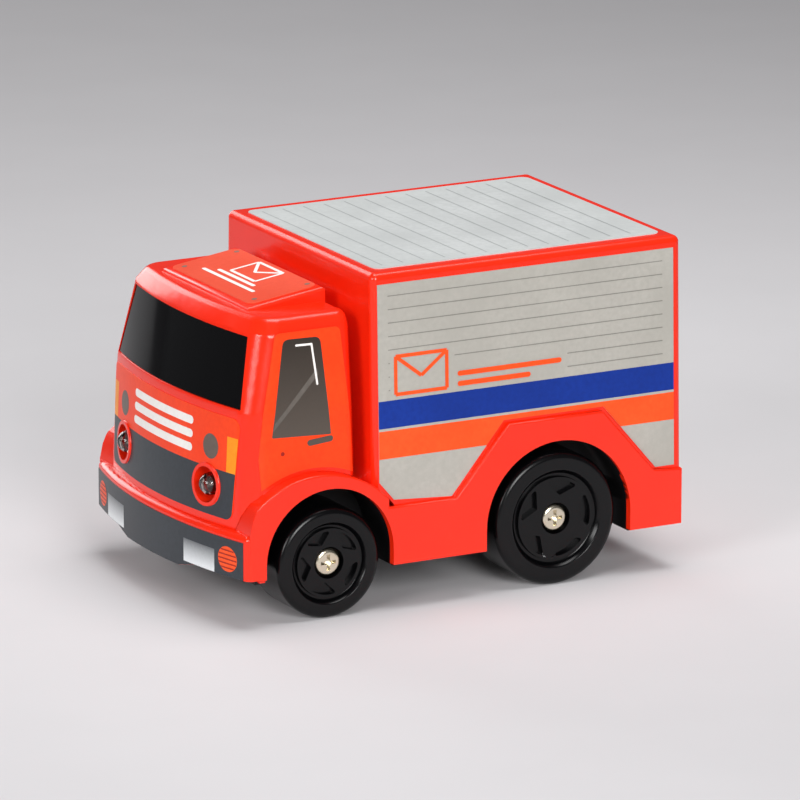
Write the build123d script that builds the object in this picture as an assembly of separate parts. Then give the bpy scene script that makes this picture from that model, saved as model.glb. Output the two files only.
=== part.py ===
from build123d import *
import math
import os

# Toy mail delivery truck, battery driven.  Millimetres.
# +X points forward, +Y to the truck's left, +Z up, ground at Z = 0.

# ---- overall sizes -------------------------------------------------------
OVERALL_LENGTH = 110.0
OVERALL_WIDTH = 71.4
ROOF_HEIGHT = 73.0
GROUND_GAP = 9.4

# ---- wheels and axles ----------------------------------------------------
REAR_WHEEL_RADIUS = 14.6
FRONT_WHEEL_RADIUS = 12.05
WHEEL_WIDTH = 13.0
WHEEL_INSET = 1.1
STAR_FACE_DEPTH = 0.45
STAR_POCKET_DEPTH = 1.1
REAR_STAR_TURN_DEG = 43.0
FRONT_STAR_TURN_DEG = 6.0
REAR_AXLE_FROM_TAIL = 30.7
FRONT_AXLE_FROM_NOSE = 24.8
AXLE_DIAMETER = 4.0
AXLE_RUNNING_GAP = 0.08
WHEEL_SOCKET_DEPTH = 7.0
WHEEL_SOCKET_GAP = 0.02

# ---- cargo box -----------------------------------------------------------
BOX_FRONT_FROM_NOSE = 35.3
BOX_HALF_TOP = 33.4
BOX_DRAFT_DEG = 1.4
BOX_WALL = 1.6
BOX_EDGE_RADIUS = 1.5
DECK_TOP = 22.2
DECK_THICKNESS = 1.8

# ---- lower body ----------------------------------------------------------
SKIRT_BOTTOM = 10.0
SKIRT_TOP = 22.7
SKIRT_PLATE = 1.0
SKIRT_WALL = 1.8
ARCH_PANEL_RISE = 5.1
REAR_ARCH_GAP = 2.9
FRONT_ARCH_GAP = 3.0
FRONT_FLANGE_RADIUS = 22.5
FLANGE_NOSE_REACH = 14.9
BUMPER_FRONT_RADIUS = 130.0
BUMPER_CORNER_RADIUS = 1.8
BUMPER_LIP_RADIUS = 1.4
BUMPER_BOTTOM = 10.8
BUMPER_TOP = 20.6
CHIN_DROP = 1.4
CHIN_HALF_WIDTH = 15.0

# ---- cab -----------------------------------------------------------------
CAB_WALL = 1.6
CAB_BOX_GAP = 2.9
CAB_BACK_CORNER = 2.6
CAB_TOP_ROUND = 2.2
CAB_TOP = 64.9
CAB_CAP_HALF = 20.0
CAB_CAP_REAR_HEIGHT = 68.2
CAB_CAP_FRONT_HEIGHT = 65.6
CAB_CAP_ROUND = 1.1
SILL_HEIGHT = 45.4
WINDSCREEN_TOP = 61.6
WINDSCREEN_RECESS = 0.35
WINDSCREEN_THICK = 1.2
WINDSCREEN_GAP = 0.06

# ---- lamps ---------------------------------------------------------------
LAMP_HEIGHT = 28.4
LAMP_OFFSET = 19.4
LAMP_RING_RADIUS = 4.6
LAMP_BORE_RADIUS = 3.85
LAMP_RING_PROUD = 0.6
LAMP_DEPTH = 5.4
LED_RADIUS = 2.5

# ---- printed labels ------------------------------------------------------
LABEL_THICK = 0.15

# ---- chassis -------------------------------------------------------------
PLATE_THICK = 1.6
WELL_WALL = 1.2
WELL_INNER_Y = 19.8
REAR_WELL_GAP = 3.4
FRONT_WELL_GAP = 3.65

# ---- battery bay ---------------------------------------------------------
CELL_RADIUS = 5.25
CELL_LENGTH = 44.5
BAY_LENGTH = 47.2
BAY_SHIFT = 0.15
BAY_WALL = 1.0
DOOR_THICK = 1.2
DOOR_GAP = 0.15

# ---- drive ---------------------------------------------------------------
MODULE = 0.4
PINION_TEETH = 8
WHEEL_GEAR_TEETH = 20
AXLE_GEAR_TEETH = 26
GEAR_WIDTH = 1.7
GEAR_STEP = 1.9
GEAR_PIN_RADIUS = 0.75
GEAR_PIN_GAP = 0.04
GEAR_BACKLASH = 0.10
MOTOR_RADIUS = 7.75
MOTOR_FLAT = 6.0
MOTOR_LENGTH = 18.0
MOTOR_SHAFT_RADIUS = 0.75
CASE_OUTER_Y = -19.7
CASE_WALL = 0.8

# ---- screws --------------------------------------------------------------
WHEEL_SCREW_HEAD_RADIUS = 3.1
WHEEL_SCREW_SHANK_RADIUS = 1.15
BODY_SCREW_HEAD_RADIUS = 2.2
BODY_SCREW_SHANK_RADIUS = 1.1

# ---- values that follow from the ones above ------------------------------
X_FRONT = OVERALL_LENGTH / 2
X_REAR = -OVERALL_LENGTH / 2
SKIRT_Y = OVERALL_WIDTH / 2
WHEEL_FACE_Y = SKIRT_Y - WHEEL_INSET
REAR_AXLE_X = X_REAR + REAR_AXLE_FROM_TAIL
FRONT_AXLE_X = X_FRONT - FRONT_AXLE_FROM_NOSE
BOX_FRONT_X = X_FRONT - BOX_FRONT_FROM_NOSE
BOX_LENGTH = BOX_FRONT_X - X_REAR
CAB_REAR_X = BOX_FRONT_X + CAB_BOX_GAP
PLATE_TOP = GROUND_GAP + PLATE_THICK
REAR_ARCH_RADIUS = REAR_WHEEL_RADIUS + REAR_ARCH_GAP
FRONT_ARCH_RADIUS = FRONT_WHEEL_RADIUS + FRONT_ARCH_GAP
ARCH_PANEL_TOP = REAR_WHEEL_RADIUS + REAR_ARCH_RADIUS + ARCH_PANEL_RISE
ARCH_PANEL_HALF_TOP = REAR_ARCH_RADIUS - 6.1
ARCH_PANEL_HALF_BOTTOM = REAR_ARCH_RADIUS + 6.6
REAR_WELL_RADIUS = REAR_WHEEL_RADIUS + REAR_WELL_GAP
FRONT_WELL_RADIUS = FRONT_WHEEL_RADIUS + FRONT_WELL_GAP
FRONT_ARCH_X = FRONT_AXLE_X + 0.4
FRONT_ARCH_Z = FRONT_WHEEL_RADIUS + 1.45
FLANGE_X = FRONT_AXLE_X + 2.8
FLANGE_Z = FRONT_WHEEL_RADIUS - 2.75
NOSE_X = X_FRONT - 1.5
CELL_Z = GROUND_GAP + DOOR_THICK + 0.25 + CELL_RADIUS
CELL_OFFSET = CELL_RADIUS + 0.2
BAY_HALF_WIDTH = 2 * CELL_OFFSET
BAY_TOP = CELL_Z + CELL_RADIUS + 0.6
BAY_CENTRE_X = (REAR_AXLE_X + FRONT_AXLE_X) / 2 + BAY_SHIFT
BAY_X0 = BAY_CENTRE_X - BAY_LENGTH / 2
BAY_X1 = BAY_CENTRE_X + BAY_LENGTH / 2
BODY_POSTS = ((X_REAR + 6.0, 26.0), (REAR_AXLE_X + 28.8, 27.0))
CAB_POST = (FRONT_AXLE_X + 8.3, 13.0)
POST_RADIUS = 2.8
FLANGE_DEPTH_Y = SKIRT_Y - 8.7
BAY_OUTER_Y = BAY_HALF_WIDTH + BAY_WALL + 0.3
BRIDGE_BOTTOM = BAY_TOP + BAY_WALL + 0.15
DOOR_SCREW = (BAY_CENTRE_X - 6.0, BAY_HALF_WIDTH + BAY_WALL + 3.0)
POST_BOTTOM = PLATE_TOP + 1.7


def block(x0, x1, y0, y1, z0, z1):
    """Rectangular block between two corners."""
    centre = Pos((x0 + x1) / 2, (y0 + y1) / 2, (z0 + z1) / 2)
    return centre * Box(x1 - x0, y1 - y0, z1 - z0)


def rod_x(radius, y, z, x0, x1):
    """Cylinder along X."""
    return Pos((x0 + x1) / 2, y, z) * Rot(0, 90, 0) * Cylinder(radius, x1 - x0)


def rod_y(radius, x, z, y0, y1):
    """Cylinder along Y."""
    return Pos(x, (y0 + y1) / 2, z) * Rot(90, 0, 0) * Cylinder(radius, y1 - y0)


def rod_z(radius, x, y, z0, z1):
    """Cylinder along Z."""
    return Pos(x, y, (z0 + z1) / 2) * Cylinder(radius, z1 - z0)


def outline(points):
    """Closed flat face from 2-D points."""
    return make_face(Polyline(*points, close=True))


def prism_y(face, y0, y1):
    """Face drawn in (X, Z), extruded along Y."""
    plane = Plane(origin=(0, y0, 0), x_dir=(1, 0, 0), z_dir=(0, -1, 0))
    return extrude(plane * face, amount=y1 - y0, dir=(0, 1, 0))


def prism_x(face, x0, x1):
    """Face drawn in (Y, Z), extruded along X."""
    plane = Plane(origin=(x0, 0, 0), x_dir=(0, 1, 0), z_dir=(1, 0, 0))
    return extrude(plane * face, amount=x1 - x0, dir=(1, 0, 0))


def prism_z(face, z0, z1):
    """Face drawn in (X, Y), extruded along Z."""
    return extrude(Pos(0, 0, z0) * face, amount=z1 - z0, dir=(0, 0, 1))


def both_sides(shape):
    """The shape and its mirror image across the centre plane."""
    return [shape, mirror(shape, about=Plane.XZ)]


def fuse(shapes):
    """One solid from several touching shapes."""
    result = shapes[0]
    for shape in shapes[1:]:
        result = result + shape
    return result


def cut(target, tools):
    """Target with every tool removed."""
    for tool in tools:
        target = target - tool
    return target


def save(name, shapes):
    """Write one node as a STEP file."""
    if not isinstance(shapes, list):
        shapes = [shapes]
    solids = []
    for shape in shapes:
        solids.extend(shape.solids())
    if len(solids) == 1:
        export_step(solids[0], f"parts/{name}.step")
    else:
        export_step(Compound(children=solids), f"parts/{name}.step")
    print(name, len(solids), round(sum(s.volume for s in solids), 1))


# ---- cargo box -----------------------------------------------------------
def box_half(z, grow=0.0):
    """Half width of the drafted cargo box at a height."""
    slope = math.tan(math.radians(BOX_DRAFT_DEG))
    return BOX_HALF_TOP + (ROOF_HEIGHT - z) * slope + grow


def box_block(grow, bottom):
    """Solid block of the cargo box, grown outwards evenly."""
    top = ROOF_HEIGHT + grow
    low = box_half(bottom, grow)
    high = box_half(top, grow)
    face = outline([(-low, bottom), (low, bottom), (high, top), (-high, top)])
    return prism_x(face, X_REAR - grow, BOX_FRONT_X + grow)


def box_posts():
    """Screw posts hanging from the roof of the box."""
    posts = []
    for x, y in BODY_POSTS:
        post = rod_z(POST_RADIUS, x, y, POST_BOTTOM, ROOF_HEIGHT - BOX_WALL / 2)
        pilot = rod_z(BODY_SCREW_SHANK_RADIUS + 0.02, x, y, POST_BOTTOM - 1, POST_BOTTOM + 8)
        posts.extend(both_sides(post - pilot))
    return posts


def make_cargo_box():
    """Hollow drafted box, open below, arched over the rear wheels."""
    outer = box_block(0.0, DECK_TOP)
    upper = outer.edges().filter_by(lambda e: e.bounding_box().max.Z > DECK_TOP + 1)
    outer = fillet(upper, BOX_EDGE_RADIUS)
    shell = outer - box_block(-BOX_WALL, DECK_TOP - 2)
    arch = rod_y(REAR_WELL_RADIUS + WELL_WALL + 0.3, REAR_AXLE_X, REAR_WHEEL_RADIUS, 19.5, SKIRT_Y + 4)
    front = rod_y(FRONT_WELL_RADIUS + WELL_WALL + 0.3, FRONT_ARCH_X, FRONT_ARCH_Z, 19.5, SKIRT_Y + 4)
    flange = rod_y(FRONT_FLANGE_RADIUS + 0.1, FLANGE_X, FLANGE_Z, FLANGE_DEPTH_Y - 0.2, SKIRT_Y + 4)
    notch = block(X_REAR + 5, BOX_FRONT_X + 1, -BAY_OUTER_Y, BAY_OUTER_Y, 0, BRIDGE_BOTTOM)
    shell = cut(shell, both_sides(arch) + both_sides(front) + both_sides(flange) + [notch])
    return fuse([shell] + box_posts())


# ---- lower body ----------------------------------------------------------
def front_flange(radius):
    """Disc of the front wheel flange, in (X, Z)."""
    return Pos(FLANGE_X, FLANGE_Z) * Circle(radius)


def flange_window(grow, low):
    """Side view of what is kept of the front flange; its nose slopes down to the bumper."""
    return outline([
        (FLANGE_X - 16.5 - grow, low),
        (FLANGE_X + FLANGE_NOSE_REACH + 1.6 + grow, low),
        (FLANGE_X + FLANGE_NOSE_REACH + 1.6 + grow, BUMPER_TOP),
        (FLANGE_X + FLANGE_NOSE_REACH + 0.9 + grow, BUMPER_TOP + 3.2),
        (FLANGE_X + FLANGE_NOSE_REACH + grow, BUMPER_TOP + 5.2),
        (FLANGE_X + FLANGE_NOSE_REACH - 1.4 + grow, BUMPER_TOP + 7.4),
        (FLANGE_X + FLANGE_NOSE_REACH - 1.4 + grow, 60),
        (FLANGE_X - 16.5 - grow, 60),
    ])


def skirt_outline():
    """Side view of the proud skirt panel before the wheel openings."""
    centre = REAR_AXLE_X + 0.7
    tail = X_REAR + 0.4
    nose = X_FRONT - 6.6
    points = [
        (tail, SKIRT_BOTTOM),
        (tail, SKIRT_TOP - 0.6),
        (centre - ARCH_PANEL_HALF_BOTTOM, SKIRT_TOP),
        (centre - ARCH_PANEL_HALF_TOP, ARCH_PANEL_TOP),
        (centre + ARCH_PANEL_HALF_TOP, ARCH_PANEL_TOP),
        (centre + ARCH_PANEL_HALF_BOTTOM, SKIRT_TOP),
        (nose - 2, SKIRT_TOP),
        (nose, BUMPER_TOP),
        (nose, BUMPER_BOTTOM),
        (FRONT_AXLE_X, SKIRT_BOTTOM),
    ]
    flange = front_flange(FRONT_FLANGE_RADIUS)
    return outline(points) + (flange & flange_window(0.0, 17.0))


def bumper_face(inset):
    """Plan view of the bumper, inset evenly; flat at the back."""
    half = SKIRT_Y - inset
    radius = BUMPER_FRONT_RADIUS - inset
    corner = max(BUMPER_CORNER_RADIUS - inset, 0.5)
    return nose_face(X_FRONT - inset, half, radius, corner, X_FRONT - 10.0, 0.0)


def nose_face(nose, half, radius, corner, back, back_corner):
    """Plan outline with a curved front, rounded front corners and a flat back."""
    arc_x = nose - radius
    cy = half - corner
    cx = arc_x + math.sqrt((radius - corner) ** 2 - cy ** 2)
    scale = radius / (radius - corner)
    tip = (arc_x + (cx - arc_x) * scale, cy * scale)
    angle = math.atan2(cy, cx - arc_x)
    middle = (angle + math.pi / 2) / 2
    bend = (cx + corner * math.cos(middle), cy + corner * math.sin(middle))
    edges = [ThreePointArc((tip[0], -tip[1]), (nose, 0), tip)]
    edges.append(ThreePointArc(tip, bend, (cx, half)))
    if back_corner > 0:
        soft = back_corner * (1 - math.sqrt(0.5))
        edges.append(Line((cx, half), (back + back_corner, half)))
        edges.append(ThreePointArc((back + back_corner, half), (back + soft, half - soft), (back, half - back_corner)))
        edges.append(Line((back, half - back_corner), (back, back_corner - half)))
        edges.append(ThreePointArc((back, back_corner - half), (back + soft, soft - half), (back + back_corner, -half)))
        edges.append(Line((back + back_corner, -half), (cx, -half)))
    else:
        edges.append(Line((cx, half), (back, half)))
        edges.append(Line((back, half), (back, -half)))
        edges.append(Line((back, -half), (cx, -half)))
    edges.append(ThreePointArc((cx, -half), (bend[0], -bend[1]), (tip[0], -tip[1])))
    return make_face(edges)


def make_bumper():
    """Curved bumper wall with its ledge and lowered chin."""
    low = BUMPER_BOTTOM - CHIN_DROP
    outer = prism_z(bumper_face(0.0), low, BUMPER_TOP)
    lip = outer.edges().filter_by(lambda e: e.bounding_box().min.Z > BUMPER_TOP - 0.01)
    lip = lip.filter_by(lambda e: e.center().X > X_FRONT - 9.5)
    outer = fillet(lip, BUMPER_LIP_RADIUS)
    inner = prism_z(bumper_face(SKIRT_WALL), low - 1, BUMPER_TOP - SKIRT_WALL)
    wall = outer - inner
    side = [
        (-SKIRT_Y - 1, low - 1),
        (-SKIRT_Y - 1, BUMPER_BOTTOM),
        (-CHIN_HALF_WIDTH - 3, BUMPER_BOTTOM),
        (-CHIN_HALF_WIDTH + 3, low),
        (CHIN_HALF_WIDTH - 3, low),
        (CHIN_HALF_WIDTH + 3, BUMPER_BOTTOM),
        (SKIRT_Y + 1, BUMPER_BOTTOM),
        (SKIRT_Y + 1, low - 1),
    ]
    wall = wall - prism_x(outline(side), X_FRONT - 12, X_FRONT + 2)
    return wall - block(X_FRONT - 12, X_FRONT - 6.5, -31, 31, low - 2, BUMPER_TOP + 1)


def make_side_wall():
    """Left skirt panel and the wall behind it."""
    face = skirt_outline()
    panel = prism_y(face, SKIRT_Y - SKIRT_PLATE, SKIRT_Y)
    rim = panel.edges().filter_by(lambda e: e.bounding_box().min.Y > SKIRT_Y - 0.01)
    rim = rim.filter_by(lambda e: e.center().Z > SKIRT_BOTTOM + 8 or e.center().X < X_REAR + 0.5)
    panel = fillet(rim.filter_by(lambda e: e.center().X < X_FRONT - 9), 0.4)
    wall = block(X_REAR + 0.4, X_FRONT - 8, SKIRT_Y - SKIRT_WALL, SKIRT_Y - SKIRT_PLATE + 0.2,
                 SKIRT_BOTTOM, DECK_TOP)
    ring = prism_y(front_flange(FRONT_FLANGE_RADIUS), FLANGE_DEPTH_Y, SKIRT_Y - 0.5)
    ring = ring - prism_y(front_flange(FRONT_FLANGE_RADIUS - SKIRT_WALL), FLANGE_DEPTH_Y - 1, SKIRT_Y + 1)
    ring = ring & prism_y(flange_window(0.0, BUMPER_TOP - SKIRT_WALL), 0, SKIRT_Y + 4)
    cap = prism_y(front_flange(FRONT_FLANGE_RADIUS - 0.1), SKIRT_Y - SKIRT_WALL, SKIRT_Y - 0.5)
    cap = cap & prism_y(flange_window(0.0, SKIRT_BOTTOM + 1), 0, SKIRT_Y + 4)
    nose = prism_y(front_flange(FRONT_FLANGE_RADIUS - 0.1), FLANGE_DEPTH_Y, SKIRT_Y - 0.5)
    nose = nose & prism_y(flange_window(0.0, BUMPER_TOP - SKIRT_WALL), 0, SKIRT_Y + 4)
    nose = nose - prism_y(flange_window(-1.3, BUMPER_TOP - 9), -1, SKIRT_Y + 5)
    nose = nose & block(FLANGE_X + 5, X_FRONT, 0, SKIRT_Y + 4, 0, 60)
    return [panel, wall, ring, cap, nose]


def make_deck():
    """Ledges that carry the cargo box and the cab."""
    low = DECK_TOP - DECK_THICKNESS
    edge = SKIRT_Y - SKIRT_PLATE
    rear = block(X_REAR + 0.4, CAB_REAR_X, -edge, edge, low, DECK_TOP)
    rear = rear - block(X_REAR + 4, CAB_REAR_X + 2, -23.3, 23.3, low - 1, DECK_TOP + 1)
    front = block(CAB_REAR_X - 1, X_FRONT - 5, -edge, edge, BUMPER_TOP - SKIRT_WALL, BUMPER_TOP)
    front = front - block(CAB_REAR_X - 2, X_FRONT - 9, -22, 22, BUMPER_TOP - 3, BUMPER_TOP + 1)
    tail = block(X_REAR + 0.4, X_REAR + 0.4 + SKIRT_WALL, -edge, edge, SKIRT_BOTTOM, DECK_TOP)
    bridge = block(BOX_FRONT_X + 0.15, CAB_REAR_X - 0.15, -edge, edge, BRIDGE_BOTTOM, BRIDGE_BOTTOM + 4.4)
    return [rear, front, tail, bridge]


def arch_tools():
    """Volumes kept clear for the left wheels and their housings."""
    tools = [rod_y(REAR_ARCH_RADIUS, REAR_AXLE_X, REAR_WHEEL_RADIUS, 25, SKIRT_Y + 2)]
    tools.append(rod_y(FRONT_ARCH_RADIUS, FRONT_ARCH_X, FRONT_ARCH_Z, 25, SKIRT_Y + 2))
    for x, z, r in wheel_centres(REAR_ARCH_RADIUS, FRONT_ARCH_RADIUS):
        tools.append(block(x - r, x + r, 25, SKIRT_Y + 2, SKIRT_BOTTOM - 6, z))
    well_y = SKIRT_Y - SKIRT_WALL
    for x, z, r in wheel_centres(REAR_WELL_RADIUS, FRONT_WELL_RADIUS):
        r = r + WELL_WALL + 0.15
        tools.append(rod_y(r, x, z, WELL_INNER_Y - 1, well_y))
        tools.append(block(x - r, x + r, WELL_INNER_Y - 1, well_y, SKIRT_BOTTOM - 6, z))
    return tools


def wheel_centres(rear_radius, front_radius):
    """Centre and radius of each arch on one side."""
    rear = (REAR_AXLE_X, REAR_WHEEL_RADIUS, rear_radius)
    front = (FRONT_ARCH_X, FRONT_ARCH_Z, front_radius)
    return [rear, front]


def make_lower_body():
    """Skirts, arches, bumper and deck in one moulding."""
    left = fuse(make_side_wall())
    body = fuse([make_bumper()] + make_deck() + both_sides(left))
    tools = []
    for tool in arch_tools():
        tools.extend(both_sides(tool))
    for x, y in BODY_POSTS:
        tools.extend(both_sides(rod_z(POST_RADIUS + 0.2, x, y, 0, 30)))
    return max(cut(body, tools).solids(), key=lambda solid: solid.volume)


# ---- cab -----------------------------------------------------------------
CAB_LEVELS = (
    (BUMPER_TOP, NOSE_X, SKIRT_Y - 2.5, 108.0),
    (SILL_HEIGHT, NOSE_X - 1.6, SKIRT_Y - 3.8, 122.0),
    (WINDSCREEN_TOP + 0.4, NOSE_X - 6.1, SKIRT_Y - 5.5, 144.0),
    (CAB_TOP, NOSE_X - 8.2, SKIRT_Y - 7.4, 144.0),
)
CAB_CORNER = 5.2


def cab_level(z, nose, half, radius, inset):
    """Plan outline of the cab at one height."""
    back = CAB_REAR_X + inset
    face = nose_face(nose - inset, half - inset, radius - inset, CAB_CORNER - inset,
                     back, CAB_BACK_CORNER - inset)
    return Pos(0, 0, z) * face


def cab_block(inset):
    """Solid block of the cab, inset evenly except at the open bottom."""
    levels = []
    for z, nose, half, radius in CAB_LEVELS:
        if z == CAB_TOP:
            z = z - inset
        if z == BUMPER_TOP and inset > 0:
            z = z - 0.5
        levels.append(cab_level(z, nose, half, radius, inset))
    parts = []
    for low, high in zip(levels[:-1], levels[1:]):
        parts.append(loft([low, high], ruled=True))
    return fuse(parts)


def cap_profile(drop):
    """Side view of the raised roof cap."""
    front = NOSE_X - 11.7
    back = CAB_REAR_X + 1.0
    return outline([
        (back, CAB_TOP - 3),
        (back, CAB_CAP_REAR_HEIGHT - drop),
        (front, CAB_CAP_FRONT_HEIGHT - drop),
        (front + 1.2, CAB_TOP - 3),
    ])


def make_cap():
    """Raised wind deflector on the cab roof."""
    cap = prism_y(cap_profile(0.0), -CAB_CAP_HALF, CAB_CAP_HALF)
    top = cap.edges().filter_by(lambda e: e.bounding_box().min.Z > CAB_TOP + 0.3)
    cap = fillet(top, CAB_CAP_ROUND)
    hollow = prism_y(cap_profile(CAB_WALL), -CAB_CAP_HALF + CAB_WALL, CAB_CAP_HALF - CAB_WALL)
    hollow = hollow & block(CAB_REAR_X + 2.6, NOSE_X - 13.3, -40, 40, 0, 90)
    return cap, hollow


def windscreen_face(grow):
    """Front view of the windscreen, in (Y, Z)."""
    top = WINDSCREEN_TOP - 0.5
    low = SILL_HEIGHT + 0.7
    face = outline([(-28.8, low), (28.8, low), (26.4, top), (-26.4, top)])
    if grow:
        face = offset(face, amount=grow, kind=Kind.INTERSECTION)
    return face


def cab_tools():
    """Everything removed from the cab shell."""
    tools = [prism_x(windscreen_face(0.0), NOSE_X - 14, X_FRONT + 2)]
    arch = rod_y(FRONT_FLANGE_RADIUS + 0.05, FLANGE_X, FLANGE_Z, FLANGE_DEPTH_Y - 0.2, SKIRT_Y + 4)
    kept = prism_y(flange_window(0.1, BUMPER_TOP - 1), 0, SKIRT_Y + 10)
    arch = arch & (kept + block(CAB_REAR_X - 5, FLANGE_X, 0, SKIRT_Y + 10, 0, 60))
    tools.extend(both_sides(arch))
    well = rod_y(FRONT_WELL_RADIUS + WELL_WALL + 0.3, FRONT_ARCH_X, FRONT_ARCH_Z, 19.5, SKIRT_Y + 4)
    tools.extend(both_sides(well))
    tools.append(block(CAB_REAR_X - 1, CAB_REAR_X + 3, -BAY_OUTER_Y, BAY_OUTER_Y, 0, BRIDGE_BOTTOM))
    return tools


def lamp_tube():
    """Left headlamp ring, its bore and the hole for the lamp."""
    back = NOSE_X - LAMP_DEPTH
    tube = rod_x(LAMP_RING_RADIUS, LAMP_OFFSET, LAMP_HEIGHT, back, NOSE_X + 3) & cab_block(-LAMP_RING_PROUD)
    bore = rod_x(LAMP_BORE_RADIUS, LAMP_OFFSET, LAMP_HEIGHT, back + 1.0, NOSE_X + 9)
    hole = rod_x(LED_RADIUS + 0.05, LAMP_OFFSET, LAMP_HEIGHT, back - 9, NOSE_X + 9)
    return tube, bore, hole


def make_cab_shell():
    """Hollow cab with windscreen opening, lamp bores and roof cap."""
    outer = cab_block(0.0)
    rim = outer.edges().filter_by(lambda e: e.bounding_box().min.Z > CAB_TOP - 0.01)
    outer = fillet(rim, CAB_TOP_ROUND)
    cap, hollow = make_cap()
    shell = (outer + cap) - cab_block(CAB_WALL) - hollow
    shell = cut(shell, cab_tools())
    tube, bore, hole = lamp_tube()
    shell = fuse([shell] + both_sides(tube))
    shell = cut(shell, both_sides(bore) + both_sides(hole))
    x, y = CAB_POST
    post = rod_z(POST_RADIUS, x, y, POST_BOTTOM, CAB_TOP - CAB_WALL + 0.5)
    pilot = rod_z(BODY_SCREW_SHANK_RADIUS + 0.02, x, y, POST_BOTTOM - 1, POST_BOTTOM + 8)
    return fuse([shell] + both_sides(post - pilot))


def make_windscreen():
    """Dark insert: a pane in the opening and a flange behind the wall."""
    pane = cab_block(WINDSCREEN_RECESS) - cab_block(CAB_WALL + WINDSCREEN_GAP + 0.4)
    pane = pane & prism_x(windscreen_face(-WINDSCREEN_GAP), NOSE_X - 12, X_FRONT + 2)
    flange = cab_block(CAB_WALL + WINDSCREEN_GAP) - cab_block(CAB_WALL + WINDSCREEN_THICK)
    flange = flange & prism_x(windscreen_face(1.2), NOSE_X - 12, X_FRONT + 2)
    return pane + flange


# ---- printed labels ------------------------------------------------------
def rounded(points, radius):
    """Closed outline with every corner rounded."""
    face = outline(points)
    return fillet(face.vertices(), radius)


def skin_box():
    """Thin skin lying on the outside of the cargo box."""
    return box_block(LABEL_THICK, DECK_TOP) - box_block(0.0, DECK_TOP - 1)


def skin_cab():
    """Thin skin lying on the outside of the cab."""
    return cab_block(-LABEL_THICK) - cab_block(0.0)


def box_side_outline():
    """Side view of the cargo label, cut away over the rear arch panel."""
    centre = REAR_AXLE_X + 0.7
    gap = 0.7
    low = SKIRT_TOP + 0.3
    front = BOX_FRONT_X - 1.3
    back = X_REAR + 2.0
    top = ROOF_HEIGHT - 2.4
    return [
        (front, top),
        (front, low + 5.0),
        (front - 3.4, low + 1.0),
        (centre + ARCH_PANEL_HALF_BOTTOM + gap, low),
        (centre + ARCH_PANEL_HALF_TOP + gap, ARCH_PANEL_TOP + gap),
        (centre - ARCH_PANEL_HALF_TOP - gap, ARCH_PANEL_TOP + gap),
        (centre - ARCH_PANEL_HALF_BOTTOM - gap, low),
        (back, low),
        (back, top),
    ]


def make_box_side_label():
    """Left cargo label."""
    face = outline(box_side_outline())
    return skin_box() & prism_y(face, BOX_HALF_TOP - 2, SKIRT_Y)


def make_box_roof_label():
    """Label on the cargo roof."""
    face = RectangleRounded(BOX_LENGTH - 5.6, 2 * BOX_HALF_TOP - 7.0, 2.0)
    face = Pos((X_REAR + BOX_FRONT_X) / 2, 0) * face
    return prism_z(face, ROOF_HEIGHT, ROOF_HEIGHT + LABEL_THICK)


def make_box_rear_label():
    """Label on the tail of the cargo box."""
    face = Pos(0, (DECK_TOP + ROOF_HEIGHT) / 2) * RectangleRounded(2 * BOX_HALF_TOP - 8, 43.0, 2.0)
    return prism_x(face, X_REAR - LABEL_THICK, X_REAR)


def make_grille_label():
    """Label around the nose of the cab, under the windscreen."""
    low = BUMPER_TOP + 1.6
    high = SILL_HEIGHT - 1.3
    face = rounded([(-27.8, low), (27.8, low), (29.2, high), (-29.2, high)], 2.0)
    label = skin_cab() & prism_x(face, NOSE_X - 12, X_FRONT + 3)
    ring = rod_x(LAMP_RING_RADIUS + 0.1, LAMP_OFFSET, LAMP_HEIGHT, NOSE_X - 12, X_FRONT + 3)
    return cut(label, both_sides(ring))


def make_bumper_label():
    """Label around the bumper."""
    skin = prism_z(bumper_face(-LABEL_THICK), 0, 30) - prism_z(bumper_face(0.0), -1, 31)
    low = BUMPER_BOTTOM + 0.05
    chin = low - CHIN_DROP
    top = BUMPER_TOP - BUMPER_LIP_RADIUS - 0.2
    half = SKIRT_Y - 1.5
    points = [
        (-half, top),
        (-half, low),
        (-CHIN_HALF_WIDTH - 3, low),
        (-CHIN_HALF_WIDTH + 3, chin),
        (CHIN_HALF_WIDTH - 3, chin),
        (CHIN_HALF_WIDTH + 3, low),
        (half, low),
        (half, top),
    ]
    return skin & prism_x(outline(points), X_FRONT - 5.6, X_FRONT + 2)


def make_door_label():
    """Left door label, arched over the wheel flange."""
    points = [
        (BOX_FRONT_X + 5.9, 62.0),
        (BOX_FRONT_X + 4.2, 41.0),
        (BOX_FRONT_X + 3.8, 30.0),
        (NOSE_X - 8.4, 25.5),
        (NOSE_X - 7.8, 36.0),
        (NOSE_X - 9.0, 45.0),
        (NOSE_X - 12.8, 62.0),
    ]
    face = rounded(points, 1.2)
    label = skin_cab() & prism_y(face, 20, SKIRT_Y + 4)
    arch = rod_y(FRONT_FLANGE_RADIUS + 0.9, FLANGE_X, FLANGE_Z, 15, 45)
    return label - arch


def make_cap_label():
    """Label on the raised roof cap."""
    front = NOSE_X - 12.8
    back = CAB_REAR_X + 2.0
    slope = (CAB_CAP_REAR_HEIGHT - CAB_CAP_FRONT_HEIGHT) / (NOSE_X - 11.7 - CAB_REAR_X - 1.0)
    rear_z = CAB_CAP_REAR_HEIGHT - slope * 1.0
    front_z = CAB_CAP_REAR_HEIGHT - slope * (front - CAB_REAR_X - 1.0)
    side = outline([(back, rear_z), (front, front_z), (front, front_z + LABEL_THICK), (back, rear_z + LABEL_THICK)])
    plate = prism_y(side, -CAB_CAP_HALF + 1.2, CAB_CAP_HALF - 1.2)
    plan = Pos((front + back) / 2, 0) * RectangleRounded(front - back, 2 * CAB_CAP_HALF - 2.4, 2.0)
    return plate & prism_z(plan, 50, 80)


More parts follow.
